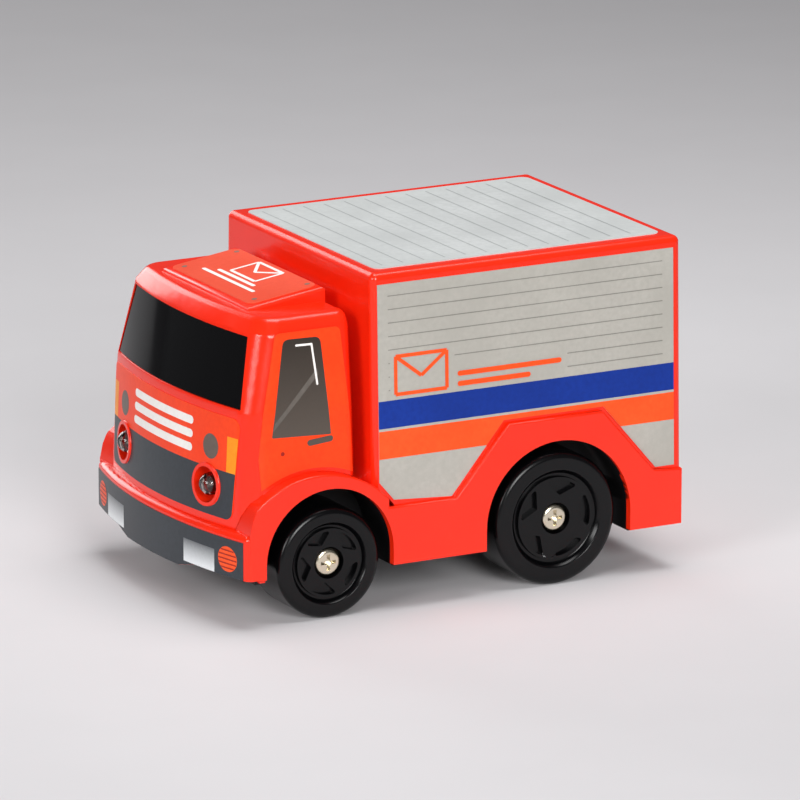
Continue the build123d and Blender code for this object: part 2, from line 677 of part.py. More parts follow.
# ---- chassis -------------------------------------------------------------
def make_well(x, z, radius, width_y):
    """Left wheel housing: half tube with a closed inner wall."""
    outer = rod_y(radius + WELL_WALL, x, z, WELL_INNER_Y, width_y)
    outer = outer + block(x - radius - WELL_WALL, x + radius + WELL_WALL, WELL_INNER_Y, width_y, GROUND_GAP, z)
    outer = outer & block(x - 40, x + 40, 0, SKIRT_Y + 14, GROUND_GAP, 90)
    inner = rod_y(radius, x, z, WELL_INNER_Y + WELL_WALL, width_y + 1)
    inner = inner + block(x - radius, x + radius, WELL_INNER_Y + WELL_WALL, width_y + 1, 0, z)
    return outer, inner


def door_outline(grow):
    """Plan of the battery door."""
    face = RectangleRounded(BAY_LENGTH + 2.0 + 2 * grow, 2 * BAY_HALF_WIDTH + 2.0 + 2 * grow, 2.0)
    tab = Pos(DOOR_SCREW[0], DOOR_SCREW[1]) * Circle(3.2 + grow)
    return Pos(BAY_CENTRE_X, 0) * face + tab


def make_bay():
    """Walls of the battery bay, open below."""
    outer = block(BAY_X0 - BAY_WALL, BAY_X1 + BAY_WALL, -BAY_HALF_WIDTH - BAY_WALL,
                  BAY_HALF_WIDTH + BAY_WALL, PLATE_TOP - 0.2, BAY_TOP + BAY_WALL)
    inner = block(BAY_X0, BAY_X1, -BAY_HALF_WIDTH, BAY_HALF_WIDTH, 0, BAY_TOP)
    wires = [rod_z(0.8, BAY_X1 - 1.2, y, BAY_TOP - 1, BAY_TOP + 3) for y in (-CELL_OFFSET, CELL_OFFSET)]
    return outer, [inner] + wires


def gear_case_face(radius_axle, radius_mid, radius_motor):
    """Side view of the gear case as three joined discs, in (X, Z)."""
    face = Sketch()
    spots = [(AXLE_SPOT, radius_axle), (SECOND_SPOT, radius_mid), (FIRST_SPOT, radius_mid), (MOTOR_SPOT, radius_motor)]
    for (x, z), radius in spots:
        face = face + Pos(x, z) * Circle(radius)
    return make_hull(face.edges())


def step_along(spot, distance, angle_deg):
    """Point at a distance and angle from another, in (X, Z)."""
    angle = math.radians(angle_deg)
    return (spot[0] + distance * math.cos(angle), spot[1] + distance * math.sin(angle))


AXLE_SPOT = (REAR_AXLE_X, REAR_WHEEL_RADIUS)
SECOND_ANGLE = 143.0
FIRST_ANGLE = 154.0
MOTOR_ANGLE = 154.0
SECOND_SPOT = step_along(AXLE_SPOT, (PINION_TEETH + AXLE_GEAR_TEETH) * MODULE / 2, SECOND_ANGLE)
FIRST_SPOT = step_along(SECOND_SPOT, (PINION_TEETH + WHEEL_GEAR_TEETH) * MODULE / 2, FIRST_ANGLE)
MOTOR_SPOT = step_along(FIRST_SPOT, (PINION_TEETH + WHEEL_GEAR_TEETH) * MODULE / 2, MOTOR_ANGLE)
CAVITY_AXLE = (AXLE_GEAR_TEETH / 2 + 1) * MODULE + 0.25
CAVITY_MID = (WHEEL_GEAR_TEETH / 2 + 1) * MODULE + 0.35
CAVITY_MOTOR = (PINION_TEETH / 2 + 1) * MODULE + 1.0
CAVITY_Y0 = CASE_OUTER_Y + CASE_WALL
CAVITY_Y1 = CAVITY_Y0 + 3 * GEAR_STEP + 0.2
CASE_INNER_Y = CAVITY_Y1 + CASE_WALL
PLANE_AXLE = CAVITY_Y0 + 0.2
PLANE_SECOND = PLANE_AXLE + GEAR_STEP
PLANE_FIRST = PLANE_SECOND + GEAR_STEP
SWITCH_X = REAR_AXLE_X + 28.8
SWITCH_Y = -18.6
SWITCH_TRAVEL = 2.0


def case_outer_face(grow=0.0):
    """Outside of the gear case with its foot, in (X, Z)."""
    wall = CASE_WALL + grow
    return gear_case_face(CAVITY_AXLE + wall, CAVITY_MID + wall, CAVITY_MOTOR + wall + 1.0)


def make_base_plate():
    """Black underside: plate, wheel housings, battery bay and bosses."""
    edge = SKIRT_Y - SKIRT_WALL - 0.15
    plate = block(X_REAR + 2.4, FRONT_ARCH_X + FRONT_WELL_RADIUS + 1.0, -edge, edge, GROUND_GAP, PLATE_TOP)
    front = prism_z(bumper_face(SKIRT_WALL + 0.15), BUMPER_BOTTOM + 0.2, BUMPER_BOTTOM + 1.8)
    rib = block(FRONT_ARCH_X + FRONT_WELL_RADIUS, FRONT_ARCH_X + FRONT_WELL_RADIUS + 1.0, -edge, edge,
                GROUND_GAP, BUMPER_BOTTOM + 1.8)
    plate = fuse([plate, front, rib])
    wells = []
    hollows = []
    for x, z, r in wheel_centres(REAR_WELL_RADIUS, FRONT_WELL_RADIUS):
        outer, inner = make_well(x, z, r, edge)
        wells.extend(both_sides(outer))
        hollows.extend(both_sides(inner))
    bay, bay_tools = make_bay()
    body = fuse([plate] + wells + [bay])
    bosses = []
    holes = []
    for x, y in list(BODY_POSTS) + [CAB_POST]:
        bosses.extend(both_sides(rod_z(POST_RADIUS + 0.6, x, y, PLATE_TOP - 0.5, POST_BOTTOM - 0.02)))
        holes.extend(both_sides(rod_z(BODY_SCREW_SHANK_RADIUS + 0.15, x, y, 0, 20)))
        holes.extend(both_sides(rod_z(BODY_SCREW_HEAD_RADIUS + 0.2, x, y, 0, PLATE_TOP + 0.1)))
    body = fuse([body] + bosses)
    nose_guard = block(FRONT_AXLE_X - 3.2, FRONT_AXLE_X + 3.2, WELL_INNER_Y - 3.0, WELL_INNER_Y + 0.4,
                       GROUND_GAP, FRONT_WHEEL_RADIUS + 3.4)
    body = fuse([body] + both_sides(nose_guard))
    hole_radius = AXLE_DIAMETER / 2 + AXLE_RUNNING_GAP
    tools = hollows + bay_tools + holes
    tools.append(rod_y(hole_radius, REAR_AXLE_X, REAR_WHEEL_RADIUS, -SKIRT_Y - 4, SKIRT_Y + 4))
    tools.append(rod_y(hole_radius, FRONT_AXLE_X, FRONT_WHEEL_RADIUS, -SKIRT_Y - 4, SKIRT_Y + 4))
    tools.append(prism_y(case_outer_face(0.15), CASE_OUTER_Y - 0.15, CASE_INNER_Y + 0.15)
                 & block(-60, 20, -19.78, 0, 0, PLATE_TOP + 1))
    tools.append(prism_z(door_outline(DOOR_GAP), 0, GROUND_GAP + DOOR_THICK))
    knob = block(SWITCH_X - 1.6 - SWITCH_TRAVEL / 2, SWITCH_X + 1.6 + SWITCH_TRAVEL / 2,
                 SWITCH_Y - 1.2, SWITCH_Y + 1.2, 0, 20)
    tools.append(knob)
    return cut(body, tools)


def make_battery_door():
    """Battery door with a side tab for its screw."""
    door = prism_z(door_outline(0.0), GROUND_GAP, GROUND_GAP + DOOR_THICK - 0.05)
    x, y = DOOR_SCREW
    hole = rod_z(BODY_SCREW_SHANK_RADIUS + 0.15, x, y, 0, 20)
    sink = rod_z(BODY_SCREW_HEAD_RADIUS + 0.2, x, y, 0, GROUND_GAP + 0.6)
    return cut(door, [hole, sink])


# ---- electrics -----------------------------------------------------------
def make_cell():
    """One AAA cell lying along X, on the left."""
    x0 = BAY_CENTRE_X - CELL_LENGTH / 2 + 0.4
    can = rod_x(CELL_RADIUS, CELL_OFFSET, CELL_Z, x0, x0 + CELL_LENGTH - 1.0)
    can = fillet(can.edges(), 0.4)
    return can + rod_x(1.9, CELL_OFFSET, CELL_Z, x0 + CELL_LENGTH - 1.2, x0 + CELL_LENGTH)


def make_contacts():
    """Flat and bridging contact plates at the ends of the bay."""
    plates = []
    back = block(BAY_X0 + 0.02, BAY_X0 + 0.32, -9.5, 9.5, CELL_Z - 3.5, CELL_Z + 3.5)
    plates.append(back)
    for y in (-CELL_OFFSET, CELL_OFFSET):
        plate = block(BAY_X1 - 0.32, BAY_X1 - 0.02, y - 4.0, y + 4.0, CELL_Z - 3.5, BAY_TOP - 0.3)
        plates.append(plate)
    return plates


def make_springs():
    """Coil springs pressing the cells forward."""
    springs = []
    x0 = BAY_X0 + 0.62
    length = BAY_CENTRE_X - CELL_LENGTH / 2 + 0.4 - x0 - 0.3
    path = Helix(pitch=length / 2.0, height=length, radius=2.4, direction=(1, 0, 0))
    start = path @ 0
    face = Plane(origin=start, z_dir=path % 0) * Circle(0.25)
    coil = sweep(face, path=path, is_frenet=True)
    for y in (-CELL_OFFSET, CELL_OFFSET):
        springs.append(Pos(x0, y, CELL_Z) * coil)
    return springs


BOARD_X = BAY_CENTRE_X - 6.3
BOARD_Z = BAY_TOP + BAY_WALL + 1.6
LAMP_BOARD_X = NOSE_X - LAMP_DEPTH - 5.2


def make_main_board():
    """Control board on four standoffs over the battery bay."""
    board = block(BOARD_X - 17, BOARD_X + 17, -11, 11, BOARD_Z, BOARD_Z + 1.2)
    holes = [rod_z(1.1, BOARD_X + sx * 14.5, sy * 8.6, BOARD_Z - 2, BOARD_Z + 3)
             for sx in (-1, 1) for sy in (-1, 1)]
    return cut(board, holes)


def make_board_pegs():
    """Heat-staked pegs that carry the control board."""
    pegs = []
    for sx in (-1, 1):
        for sy in (-1, 1):
            x = BOARD_X + sx * 14.5
            y = sy * 8.6
            peg = rod_z(1.9, x, y, BAY_TOP + BAY_WALL - 0.3, BOARD_Z - 0.01)
            pegs.append(peg + rod_z(1.05, x, y, BOARD_Z - 0.2, BOARD_Z + 1.9))
    return pegs


def make_board_chip():
    """Control chip with its pins."""
    top = BOARD_Z + 1.2
    chip = block(BOARD_X - 4.5, BOARD_X + 4.5, -2.0, 2.0, top + 0.25, top + 1.75)
    pins = []
    for k in range(7):
        x = BOARD_X - 3.81 + k * 1.27
        pins.append(block(x - 0.2, x + 0.2, -3.0, 3.0, top + 0.01, top + 0.4))
    return fuse([chip] + pins)


def make_board_capacitor():
    """Smoothing capacitor standing on the board."""
    x = BOARD_X + 10.0
    can = rod_z(2.5, x, 2.5, BOARD_Z + 1.25, BOARD_Z + 7.2)
    return fillet(can.edges().sort_by(Axis.Z)[-1], 0.4)


def make_led():
    """Left headlamp LED: dome, flange and two legs."""
    floor = NOSE_X - LAMP_DEPTH
    body = rod_x(LED_RADIUS, LAMP_OFFSET, LAMP_HEIGHT, floor - 1.0, floor + 2.4)
    dome = Pos(floor + 2.4, LAMP_OFFSET, LAMP_HEIGHT) * Sphere(LED_RADIUS)
    flange = rod_x(LED_RADIUS + 0.45, LAMP_OFFSET, LAMP_HEIGHT, floor - 1.03, floor - 0.03)
    legs = []
    for y in (-1.27, 1.27):
        y = LAMP_OFFSET + y
        legs.append(block(LAMP_BOARD_X - 1.6, floor - 0.9, y - 0.25, y + 0.25, LAMP_HEIGHT - 0.25, LAMP_HEIGHT + 0.25))
    return fuse([body, dome, flange] + legs)


def make_lamp_board():
    """Narrow upright board that carries both headlamp LEDs."""
    board = block(LAMP_BOARD_X - 1.0, LAMP_BOARD_X, -24, 24, LAMP_HEIGHT - 1.6, LAMP_HEIGHT + 3.5)
    holes = []
    for side in (-1, 1):
        for y in (-1.27, 1.27):
            y = side * LAMP_OFFSET + y
            holes.append(block(LAMP_BOARD_X - 3, LAMP_BOARD_X + 3, y - 0.27, y + 0.27,
                               LAMP_HEIGHT - 0.27, LAMP_HEIGHT + 0.27))
    return cut(board, holes)


def wire(points, radius=0.4):
    """Insulated wire: straight runs joined by tangent arcs."""
    radii = []
    for a, b, c in zip(points[:-2], points[1:-1], points[2:]):
        before = Vector(*b) - Vector(*a)
        after = Vector(*c) - Vector(*b)
        turn = math.radians(before.get_angle(after))
        radii.append(0.45 * min(before.length, after.length) / math.tan(turn / 2))
    print("wire bend radii", [round(r, 1) for r in radii])
    path = FilletPolyline(*points, radius=radii)
    face = Plane(origin=path @ 0, z_dir=path % 0) * Circle(radius)
    return sweep(face, path=path)


def make_lamp_leads():
    """Two wires from the control board to the lamp board, beside the battery bay."""
    top = BOARD_Z + 1.2
    wires = []
    for k in (0, 1):
        x = BOARD_X + 9.0 + 2.2 * k
        y = 15.6 + 1.6 * k
        wires.append(wire([
            (x, 9.0, top + 0.42),
            (x + 2.5, 12.0, top + 1.6),
            (x + 5.5, y, top - 1.8),
            (x + 9.0, y + 0.6, top - 6.0),
            (x + 16.0, y + 0.9, top - 7.6),
            (LAMP_BOARD_X - 8.0 + k, y + 1.0, top - 3.5),
            (LAMP_BOARD_X - 4.0 + k * 0.6, y + 0.9, LAMP_HEIGHT - 0.4),
            (LAMP_BOARD_X - 1.12, y + 0.3 - 0.2 * k, LAMP_HEIGHT + 0.2),
        ]))
    return wires


def make_motor_leads():
    """Two wires from the motor to the control board."""
    x, z = MOTOR_SPOT
    y = CASE_INNER_Y + MOTOR_LENGTH + 2.5
    top = BOARD_Z + 1.2
    wires = []
    for k in (-1, 1):
        wires.append(wire([
            (x + 3.0 * k, y + 0.0, z + 1.0),
            (x + 3.0 * k + 0.5, y + 2.2, z + 2.0),
            (x + 3.0 * k + 2.5, y + 3.2, z + 4.6),
            (x + 3.0 * k + 6.5, y + 2.2, z + 6.8),
            (x + 16.0 + 2.0 * k, y - 0.2, z + 6.4),
            (BOARD_X - 15.6 - k * 0.2, 4.5 + 1.2 * k, top + 2.2),
            (BOARD_X - 14.0, 3.2 + 1.2 * k, top + 0.42),
        ]))
    return wires


def make_switch_leads():
    """Two wires from the slide switch to the control board."""
    top = BOARD_Z + 1.2
    wires = []
    for k in (-1, 1):
        x = SWITCH_X + 2.0 * k
        wires.append(wire([
            (x, SWITCH_Y, PLATE_TOP + 4.45),
            (x, SWITCH_Y + 0.5, PLATE_TOP + 8.5),
            (x, SWITCH_Y + 2.2, top - 0.5),
            (x, SWITCH_Y + 6.0, top + 2.2),
            (x, SWITCH_Y + 9.4, top + 0.42),
        ]))
    return wires


def make_switch_body():
    """Slide switch case, open below for its knob."""
    case = block(SWITCH_X - 4.3, SWITCH_X + 4.3, SWITCH_Y - 2.0, SWITCH_Y + 2.0, PLATE_TOP + 0.02, PLATE_TOP + 3.9)
    room = block(SWITCH_X - 3.2, SWITCH_X + 3.2, SWITCH_Y - 1.35, SWITCH_Y + 1.35, PLATE_TOP - 1, PLATE_TOP + 2.2)
    pins = [block(SWITCH_X + x - 0.3, SWITCH_X + x + 0.3, SWITCH_Y - 0.3, SWITCH_Y + 0.3, PLATE_TOP + 3.8, PLATE_TOP + 4.4)
            for x in (-2.0, 0.0, 2.0)]
    return fuse([case - room] + pins)


def make_switch_knob():
    """Sliding knob, shown in its rear (off) position."""
    x = SWITCH_X - SWITCH_TRAVEL / 2
    slider = block(x - 2.1, x + 2.1, SWITCH_Y - 1.25, SWITCH_Y + 1.25, PLATE_TOP + 0.15, PLATE_TOP + 1.6)
    stem = block(x - 1.4, x + 1.4, SWITCH_Y - 1.0, SWITCH_Y + 1.0, GROUND_GAP - 1.2, PLATE_TOP + 0.3)
    ribs = [block(x + k - 0.25, x + k + 0.25, SWITCH_Y - 1.1, SWITCH_Y + 1.1, GROUND_GAP - 1.7, GROUND_GAP - 1.1)
            for k in (-0.9, 0.0, 0.9)]
    return fuse([slider, stem] + ribs)


# ---- drive ---------------------------------------------------------------
def gear_points(teeth, phase):
    """Outline of a spur gear; phase is the angle of a tooth's centre line."""
    pitch = teeth * MODULE / 2
    tip = pitch + MODULE * 0.9
    root = pitch - MODULE * 1.15
    step = 2 * math.pi / teeth
    half_pitch_tooth = (step / 4) - GEAR_BACKLASH / pitch / 2
    points = []
    for k in range(teeth):
        centre = phase + k * step
        for radius, share in ((root, 1.45), (pitch, 1.0), (tip, 0.42)):
            angle = centre - half_pitch_tooth * share
            points.append((radius * math.cos(angle), radius * math.sin(angle)))
        for radius, share in ((tip, 0.42), (pitch, 1.0), (root, 1.45)):
            angle = centre + half_pitch_tooth * share
            points.append((radius * math.cos(angle), radius * math.sin(angle)))
    return points


def mesh_phase(angle_deg, driver_teeth, driver_phase, teeth):
    """Phase that puts a gear in mesh with another seen in a direction."""
    angle = math.radians(angle_deg)
    return angle + math.pi - ((driver_phase - angle) * driver_teeth + math.pi) / teeth


def gear(spot, teeth, phase, y, width=GEAR_WIDTH):
    """Spur gear with its teeth in the (X, Z) plane."""
    face = Pos(*spot) * outline(gear_points(teeth, phase))
    return prism_y(face, y, y + width)


def make_axle_gear():
    """Last gear of the train, keyed on the rear axle."""
    body = gear(AXLE_SPOT, AXLE_GEAR_TEETH, 0.0, PLANE_AXLE)
    return body - rod_y(AXLE_DIAMETER / 2 + 0.01, *AXLE_SPOT, -40, 40)


SECOND_PHASE = mesh_phase(SECOND_ANGLE, AXLE_GEAR_TEETH, 0.0, PINION_TEETH)
FIRST_PHASE = mesh_phase(FIRST_ANGLE, WHEEL_GEAR_TEETH, 0.0, PINION_TEETH)
MOTOR_PHASE = mesh_phase(MOTOR_ANGLE, WHEEL_GEAR_TEETH, 0.0, PINION_TEETH)


def make_second_gear():
    """Compound gear that drives the axle gear."""
    small = gear(SECOND_SPOT, PINION_TEETH, SECOND_PHASE, PLANE_AXLE, GEAR_STEP + 0.3)
    large = gear(SECOND_SPOT, WHEEL_GEAR_TEETH, 0.0, PLANE_SECOND)
    bore = rod_y(GEAR_PIN_RADIUS + GEAR_PIN_GAP, *SECOND_SPOT, -40, 0)
    return (small + large) - bore


def make_first_gear():
    """Compound gear driven by the motor pinion."""
    small = gear(FIRST_SPOT, PINION_TEETH, FIRST_PHASE, PLANE_SECOND, GEAR_STEP + 0.3)
    large = gear(FIRST_SPOT, WHEEL_GEAR_TEETH, 0.0, PLANE_FIRST)
    bore = rod_y(GEAR_PIN_RADIUS + GEAR_PIN_GAP, *FIRST_SPOT, -40, 0)
    return (small + large) - bore


def make_motor_pinion():
    """Pinion pressed on the motor shaft."""
    body = gear(MOTOR_SPOT, PINION_TEETH, MOTOR_PHASE, PLANE_FIRST)
    return body - rod_y(MOTOR_SHAFT_RADIUS + 0.01, *MOTOR_SPOT, -40, 0)


def make_gear_pins():
    """Steel pins under the two compound gears."""
    pins = []
    for spot in (SECOND_SPOT, FIRST_SPOT):
        pins.append(rod_y(GEAR_PIN_RADIUS, *spot, CASE_OUTER_Y + 0.1, CASE_INNER_Y - 0.1))
    return pins


def case_holes():
    """Holes through both walls of the gear case."""
    holes = [rod_y(AXLE_DIAMETER / 2 + AXLE_RUNNING_GAP, *AXLE_SPOT, -40, 40)]
    for spot in (SECOND_SPOT, FIRST_SPOT):
        holes.append(rod_y(GEAR_PIN_RADIUS + 0.01, *spot, -40, 40))
    return holes


def make_case_inner():
    """Gear case half that holds the motor."""
    wall = prism_y(case_outer_face(), CAVITY_Y0 + 0.02, CASE_INNER_Y)
    room = prism_y(gear_case_face(CAVITY_AXLE, CAVITY_MID, CAVITY_MOTOR), CASE_OUTER_Y, CAVITY_Y1)
    snout = rod_y(3.1, *MOTOR_SPOT, CAVITY_Y1 - 1, CASE_INNER_Y + 1)
    return cut(wall, [room, snout] + case_holes())


def make_case_cover():
    """Outer gear case plate."""
    wall = prism_y(case_outer_face(), CASE_OUTER_Y, CAVITY_Y0)
    return cut(wall, case_holes())


def motor_face(radius, flat):
    """Round motor outline with two flats, in (X, Z)."""
    face = Circle(radius) & Rectangle(2 * radius + 1, 2 * flat)
    return Pos(*MOTOR_SPOT) * face


def make_motor_housing():
    """Steel motor can with its front bearing."""
    y0 = CASE_INNER_Y + 0.03
    y1 = y0 + MOTOR_LENGTH
    can = prism_y(motor_face(MOTOR_RADIUS, MOTOR_FLAT), y0, y1)
    room = prism_y(motor_face(MOTOR_RADIUS - 0.6, MOTOR_FLAT - 0.6), y0 + 0.6, y1 + 1)
    boss = rod_y(2.9, *MOTOR_SPOT, y0 - 0.7, y0 + 0.3)
    hole = rod_y(MOTOR_SHAFT_RADIUS + 0.05, *MOTOR_SPOT, y0 - 3, y0 + 3)
    return ((can - room) + boss) - hole


def make_motor_cap():
    """Plastic motor end cap with two terminals."""
    y1 = CASE_INNER_Y + 0.03 + MOTOR_LENGTH
    cap = prism_y(motor_face(MOTOR_RADIUS, MOTOR_FLAT), y1 + 0.01, y1 + 1.6)
    plug = prism_y(motor_face(MOTOR_RADIUS - 0.65, MOTOR_FLAT - 0.65), y1 - 1.5, y1 + 0.1)
    boss = rod_y(2.2, *MOTOR_SPOT, y1 + 1.5, y1 + 2.3)
    hole = rod_y(MOTOR_SHAFT_RADIUS + 0.05, *MOTOR_SPOT, y1 - 3, y1 + 1.9)
    terminals = []
    for k in (-1, 1):
        x = MOTOR_SPOT[0] + 3.0 * k
        z = MOTOR_SPOT[1]
        terminals.append(block(x - 0.8, x + 0.8, y1 + 1.5, y1 + 2.35, z + 0.2, z + 1.8))
    return fuse([cap, plug, boss] + terminals) - hole


def make_motor_shaft():
    """Motor shaft with its rotor core."""
    y1 = CASE_INNER_Y + 0.03 + MOTOR_LENGTH
    shaft = rod_y(MOTOR_SHAFT_RADIUS, *MOTOR_SPOT, PLANE_FIRST - 0.1, y1 + 1.8)
    core = rod_y(4.4, *MOTOR_SPOT, CASE_INNER_Y + 3.5, y1 - 5.0)
    return shaft + core


def make_motor_magnets():
    """Two arc magnets inside the motor can."""
    y0 = CASE_INNER_Y + 2.5
    ring = rod_y(MOTOR_RADIUS - 0.63, *MOTOR_SPOT, y0, y0 + 12) - rod_y(4.8, *MOTOR_SPOT, y0 - 1, y0 + 13)
    x, z = MOTOR_SPOT
    arcs = []
    for k in (-1, 1):
        zone = block(x + k * 5.9 - 2.4, x + k * 5.9 + 2.4, y0 - 2, y0 + 14, z - 4.0, z + 4.0)
        arcs.append(ring & zone)
    return arcs


# ---- axles and wheels ----------------------------------------------------
def axle_end_flats(x, z, y_end):
    """Flats milled on the left end of an axle."""
    radius = AXLE_DIAMETER / 2
    flat = radius * 0.8
    start = y_end - WHEEL_SOCKET_DEPTH + 0.3
    return [block(x - 4, x + 4, start, y_end + 1, z + flat, z + radius + 1),
            block(x - 4, x + 4, start, y_end + 1, z - radius - 1, z - flat)]


def make_axle(x, z):
    """Through axle with flatted, drilled ends."""
    end = WHEEL_FACE_Y - 3.0
    axle = rod_y(AXLE_DIAMETER / 2, x, z, -end, end)
    tools = []
    for tool in axle_end_flats(x, z, end):
        tools.extend(both_sides(tool))
    tools.extend(both_sides(rod_y(WHEEL_SCREW_SHANK_RADIUS + 0.02, x, z, end - 7.5, end + 1)))
    return cut(axle, tools)


def star_pocket(radius, turn):
    """One pocket between two arms of the star, in the wheel's own plane."""
    inner = radius * 0.35
    outer = radius * 0.575
    half = math.radians(27)
    apex = (inner * math.cos(turn), inner * math.sin(turn))
    points = [apex]
    for angle in (turn - half, turn + half):
        tip = (outer * math.cos(angle), outer * math.sin(angle))
        points.append((2 * tip[0] - apex[0], 2 * tip[1] - apex[1]))
    face = outline(points) & Circle(outer)
    return fillet(face.vertices(), 0.4)


def wheel_dish(radius):
    """Turned recess in the wheel's face: a bowl, a groove and a sunk disc."""
    sunk = -STAR_FACE_DEPTH
    deep = sunk - 0.8
    disc = radius * 0.62
    groove = radius * 0.665
    rim = radius * 0.75
    points = [(0, sunk), (disc, sunk), (disc + 0.12, deep), (groove, deep)]
    for k in range(1, 9):
        t = k / 8
        points.append((groove + (rim - groove) * t, deep * (1 + math.cos(math.pi * t)) / 2 + 0.001 * k))
    points.extend([(rim, 1.0), (0, 1.0)])
    return revolve(Plane.XZ * outline(points), axis=Axis.Z)


def make_wheel(radius, turn_deg):
    """Wheel with its outer face at Z = 0 and its axis along Z."""
    body = Pos(0, 0, -WHEEL_WIDTH / 2) * Cylinder(radius, WHEEL_WIDTH)
    body = fillet(body.edges().sort_by(Axis.Z)[-1], 1.5)
    body = fillet(body.edges().sort_by(Axis.Z)[0], 0.8)
    tools = [wheel_dish(radius)]
    for k in range(5):
        face = star_pocket(radius, 2 * math.pi * k / 5 + math.radians(turn_deg))
        tools.append(extrude(Pos(0, 0, -STAR_FACE_DEPTH - STAR_POCKET_DEPTH) * face, amount=3.0, dir=(0, 0, 1)))
    tools.append(Pos(0, 0, -1.25) * Cylinder(WHEEL_SCREW_HEAD_RADIUS + 0.35, 2.5))
    tools.append(Pos(0, 0, -3) * Cylinder(WHEEL_SCREW_SHANK_RADIUS + 0.1, 6))
    socket = Circle(AXLE_DIAMETER / 2 + WHEEL_SOCKET_GAP)
    socket = socket & Rectangle(10, 2 * (AXLE_DIAMETER / 2 * 0.8 + WHEEL_SOCKET_GAP))
    tools.append(extrude(Pos(0, 0, -WHEEL_SOCKET_DEPTH - 3) * socket, amount=WHEEL_SOCKET_DEPTH + 0.02, dir=(0, 0, 1)))
    tools.append(Pos(0, 0, -WHEEL_WIDTH) * Cylinder(AXLE_DIAMETER / 2 + 0.1, 2 * (WHEEL_WIDTH - WHEEL_SOCKET_DEPTH - 2.7)))
    hollow = Cylinder(radius - 2.4, 7.0) - Cylinder(AXLE_DIAMETER / 2 + 1.8, 7.0)
    tools.append(Pos(0, 0, -WHEEL_WIDTH + 3.5) * hollow)
    return cut(body, tools)


def place_left(shape, x, z):
    """Turn a wheel-frame shape so its axis is Y and its face looks left."""
    return Pos(x, WHEEL_FACE_Y, z) * Rot(-90, 0, 0) * shape


def make_wheel_screw():
    """Pan head screw, head on top, under side of the head at Z = -2.5."""
    head = Pos(0, 0, -1.6) * Cylinder(WHEEL_SCREW_HEAD_RADIUS, 1.78)
    head = fillet(head.edges().sort_by(Axis.Z)[-1], 1.1)
    cross = [Pos(0, 0, -1.1) * Box(3.5, 0.8, 1.4), Pos(0, 0, -1.1) * Box(0.8, 3.5, 1.4)]
    shank = Pos(0, 0, -5.9) * Cylinder(WHEEL_SCREW_SHANK_RADIUS, 7.2)
    return cut(head, cross) + shank


def body_screw(x, y, z_head, length=7.5):
    """Countersunk-pocket body screw, head downwards."""
    head = rod_z(BODY_SCREW_HEAD_RADIUS, x, y, z_head, z_head + 1.3)
    head = fillet(head.edges().sort_by(Axis.Z)[0], 0.5)
    cross = [block(x - 1.3, x + 1.3, y - 0.3, y + 0.3, z_head - 1, z_head + 0.8),
             block(x - 0.3, x + 0.3, y - 1.3, y + 1.3, z_head - 1, z_head + 0.8)]
    shank = rod_z(BODY_SCREW_SHANK_RADIUS, x, y, z_head + 1.2, z_head + length)
    return cut(head, cross) + shank


def save_body():
    """Outer shells and their labels."""
    save("cargo_box", make_cargo_box())
    save("lower_body", make_lower_body())
    save("cab_shell", make_cab_shell())
    save("windscreen", make_windscreen())
    side = make_box_side_label()
    save("box_label_left", side)
    save("box_label_right", mirror(side, about=Plane.XZ))
    save("box_label_roof", make_box_roof_label())
    save("box_label_rear", make_box_rear_label())
    save("grille_label", make_grille_label())
    save("bumper_label", make_bumper_label())
    door = make_door_label()
    save("door_label_left", door)
    save("door_label_right", mirror(door, about=Plane.XZ))
    save("cab_roof_label", make_cap_label())


def save_chassis():
    """Underside, battery bay and body screws."""
    plate = make_base_plate()
    save("base_plate", fuse([plate] + make_board_pegs() + [door_screw_boss()]) - door_screw_hole())
    save("battery_door", make_battery_door())
    save("battery_door_screw", body_screw(DOOR_SCREW[0], DOOR_SCREW[1], GROUND_GAP - 0.72, 6.5))
    screws = []
    for x, y in list(BODY_POSTS) + [CAB_POST]:
        screws.append(body_screw(x, y, PLATE_TOP - 1.25))
        screws.append(body_screw(x, -y, PLATE_TOP - 1.25))
    save("base_screws", screws)


def door_screw_boss():
    """Boss beside the battery bay that takes the door screw."""
    x, y = DOOR_SCREW
    boss = rod_z(2.6, x, y, PLATE_TOP - 0.2, GROUND_GAP + 8)
    return boss + block(x - 2.6, x + 2.6, BAY_HALF_WIDTH + 0.3, y, PLATE_TOP - 0.2, GROUND_GAP + 8)


def door_screw_hole():
    """Pilot hole in that boss."""
    x, y = DOOR_SCREW
    return rod_z(BODY_SCREW_SHANK_RADIUS + 0.02, x, y, 0, GROUND_GAP + 7)


def save_electrics():
    """Cells, boards, lamps, switch and leads."""
    cell = make_cell()
    save("battery_left", cell)
    save("battery_right", mirror(cell, about=Plane.XZ))
    save("battery_contacts", make_contacts())
    save("battery_springs", make_springs())
    save("main_board", make_main_board())
    save("board_chip", make_board_chip())
    save("board_capacitor", make_board_capacitor())
    led = make_led()
    save("headlamp_led_left", led)
    save("headlamp_led_right", mirror(led, about=Plane.XZ))
    save("lamp_board", make_lamp_board())
    save("lamp_leads", make_lamp_leads())
    save("motor_leads", make_motor_leads())
    save("switch_leads", make_switch_leads())
    save("switch_body", make_switch_body())
    save("switch_knob", make_switch_knob())


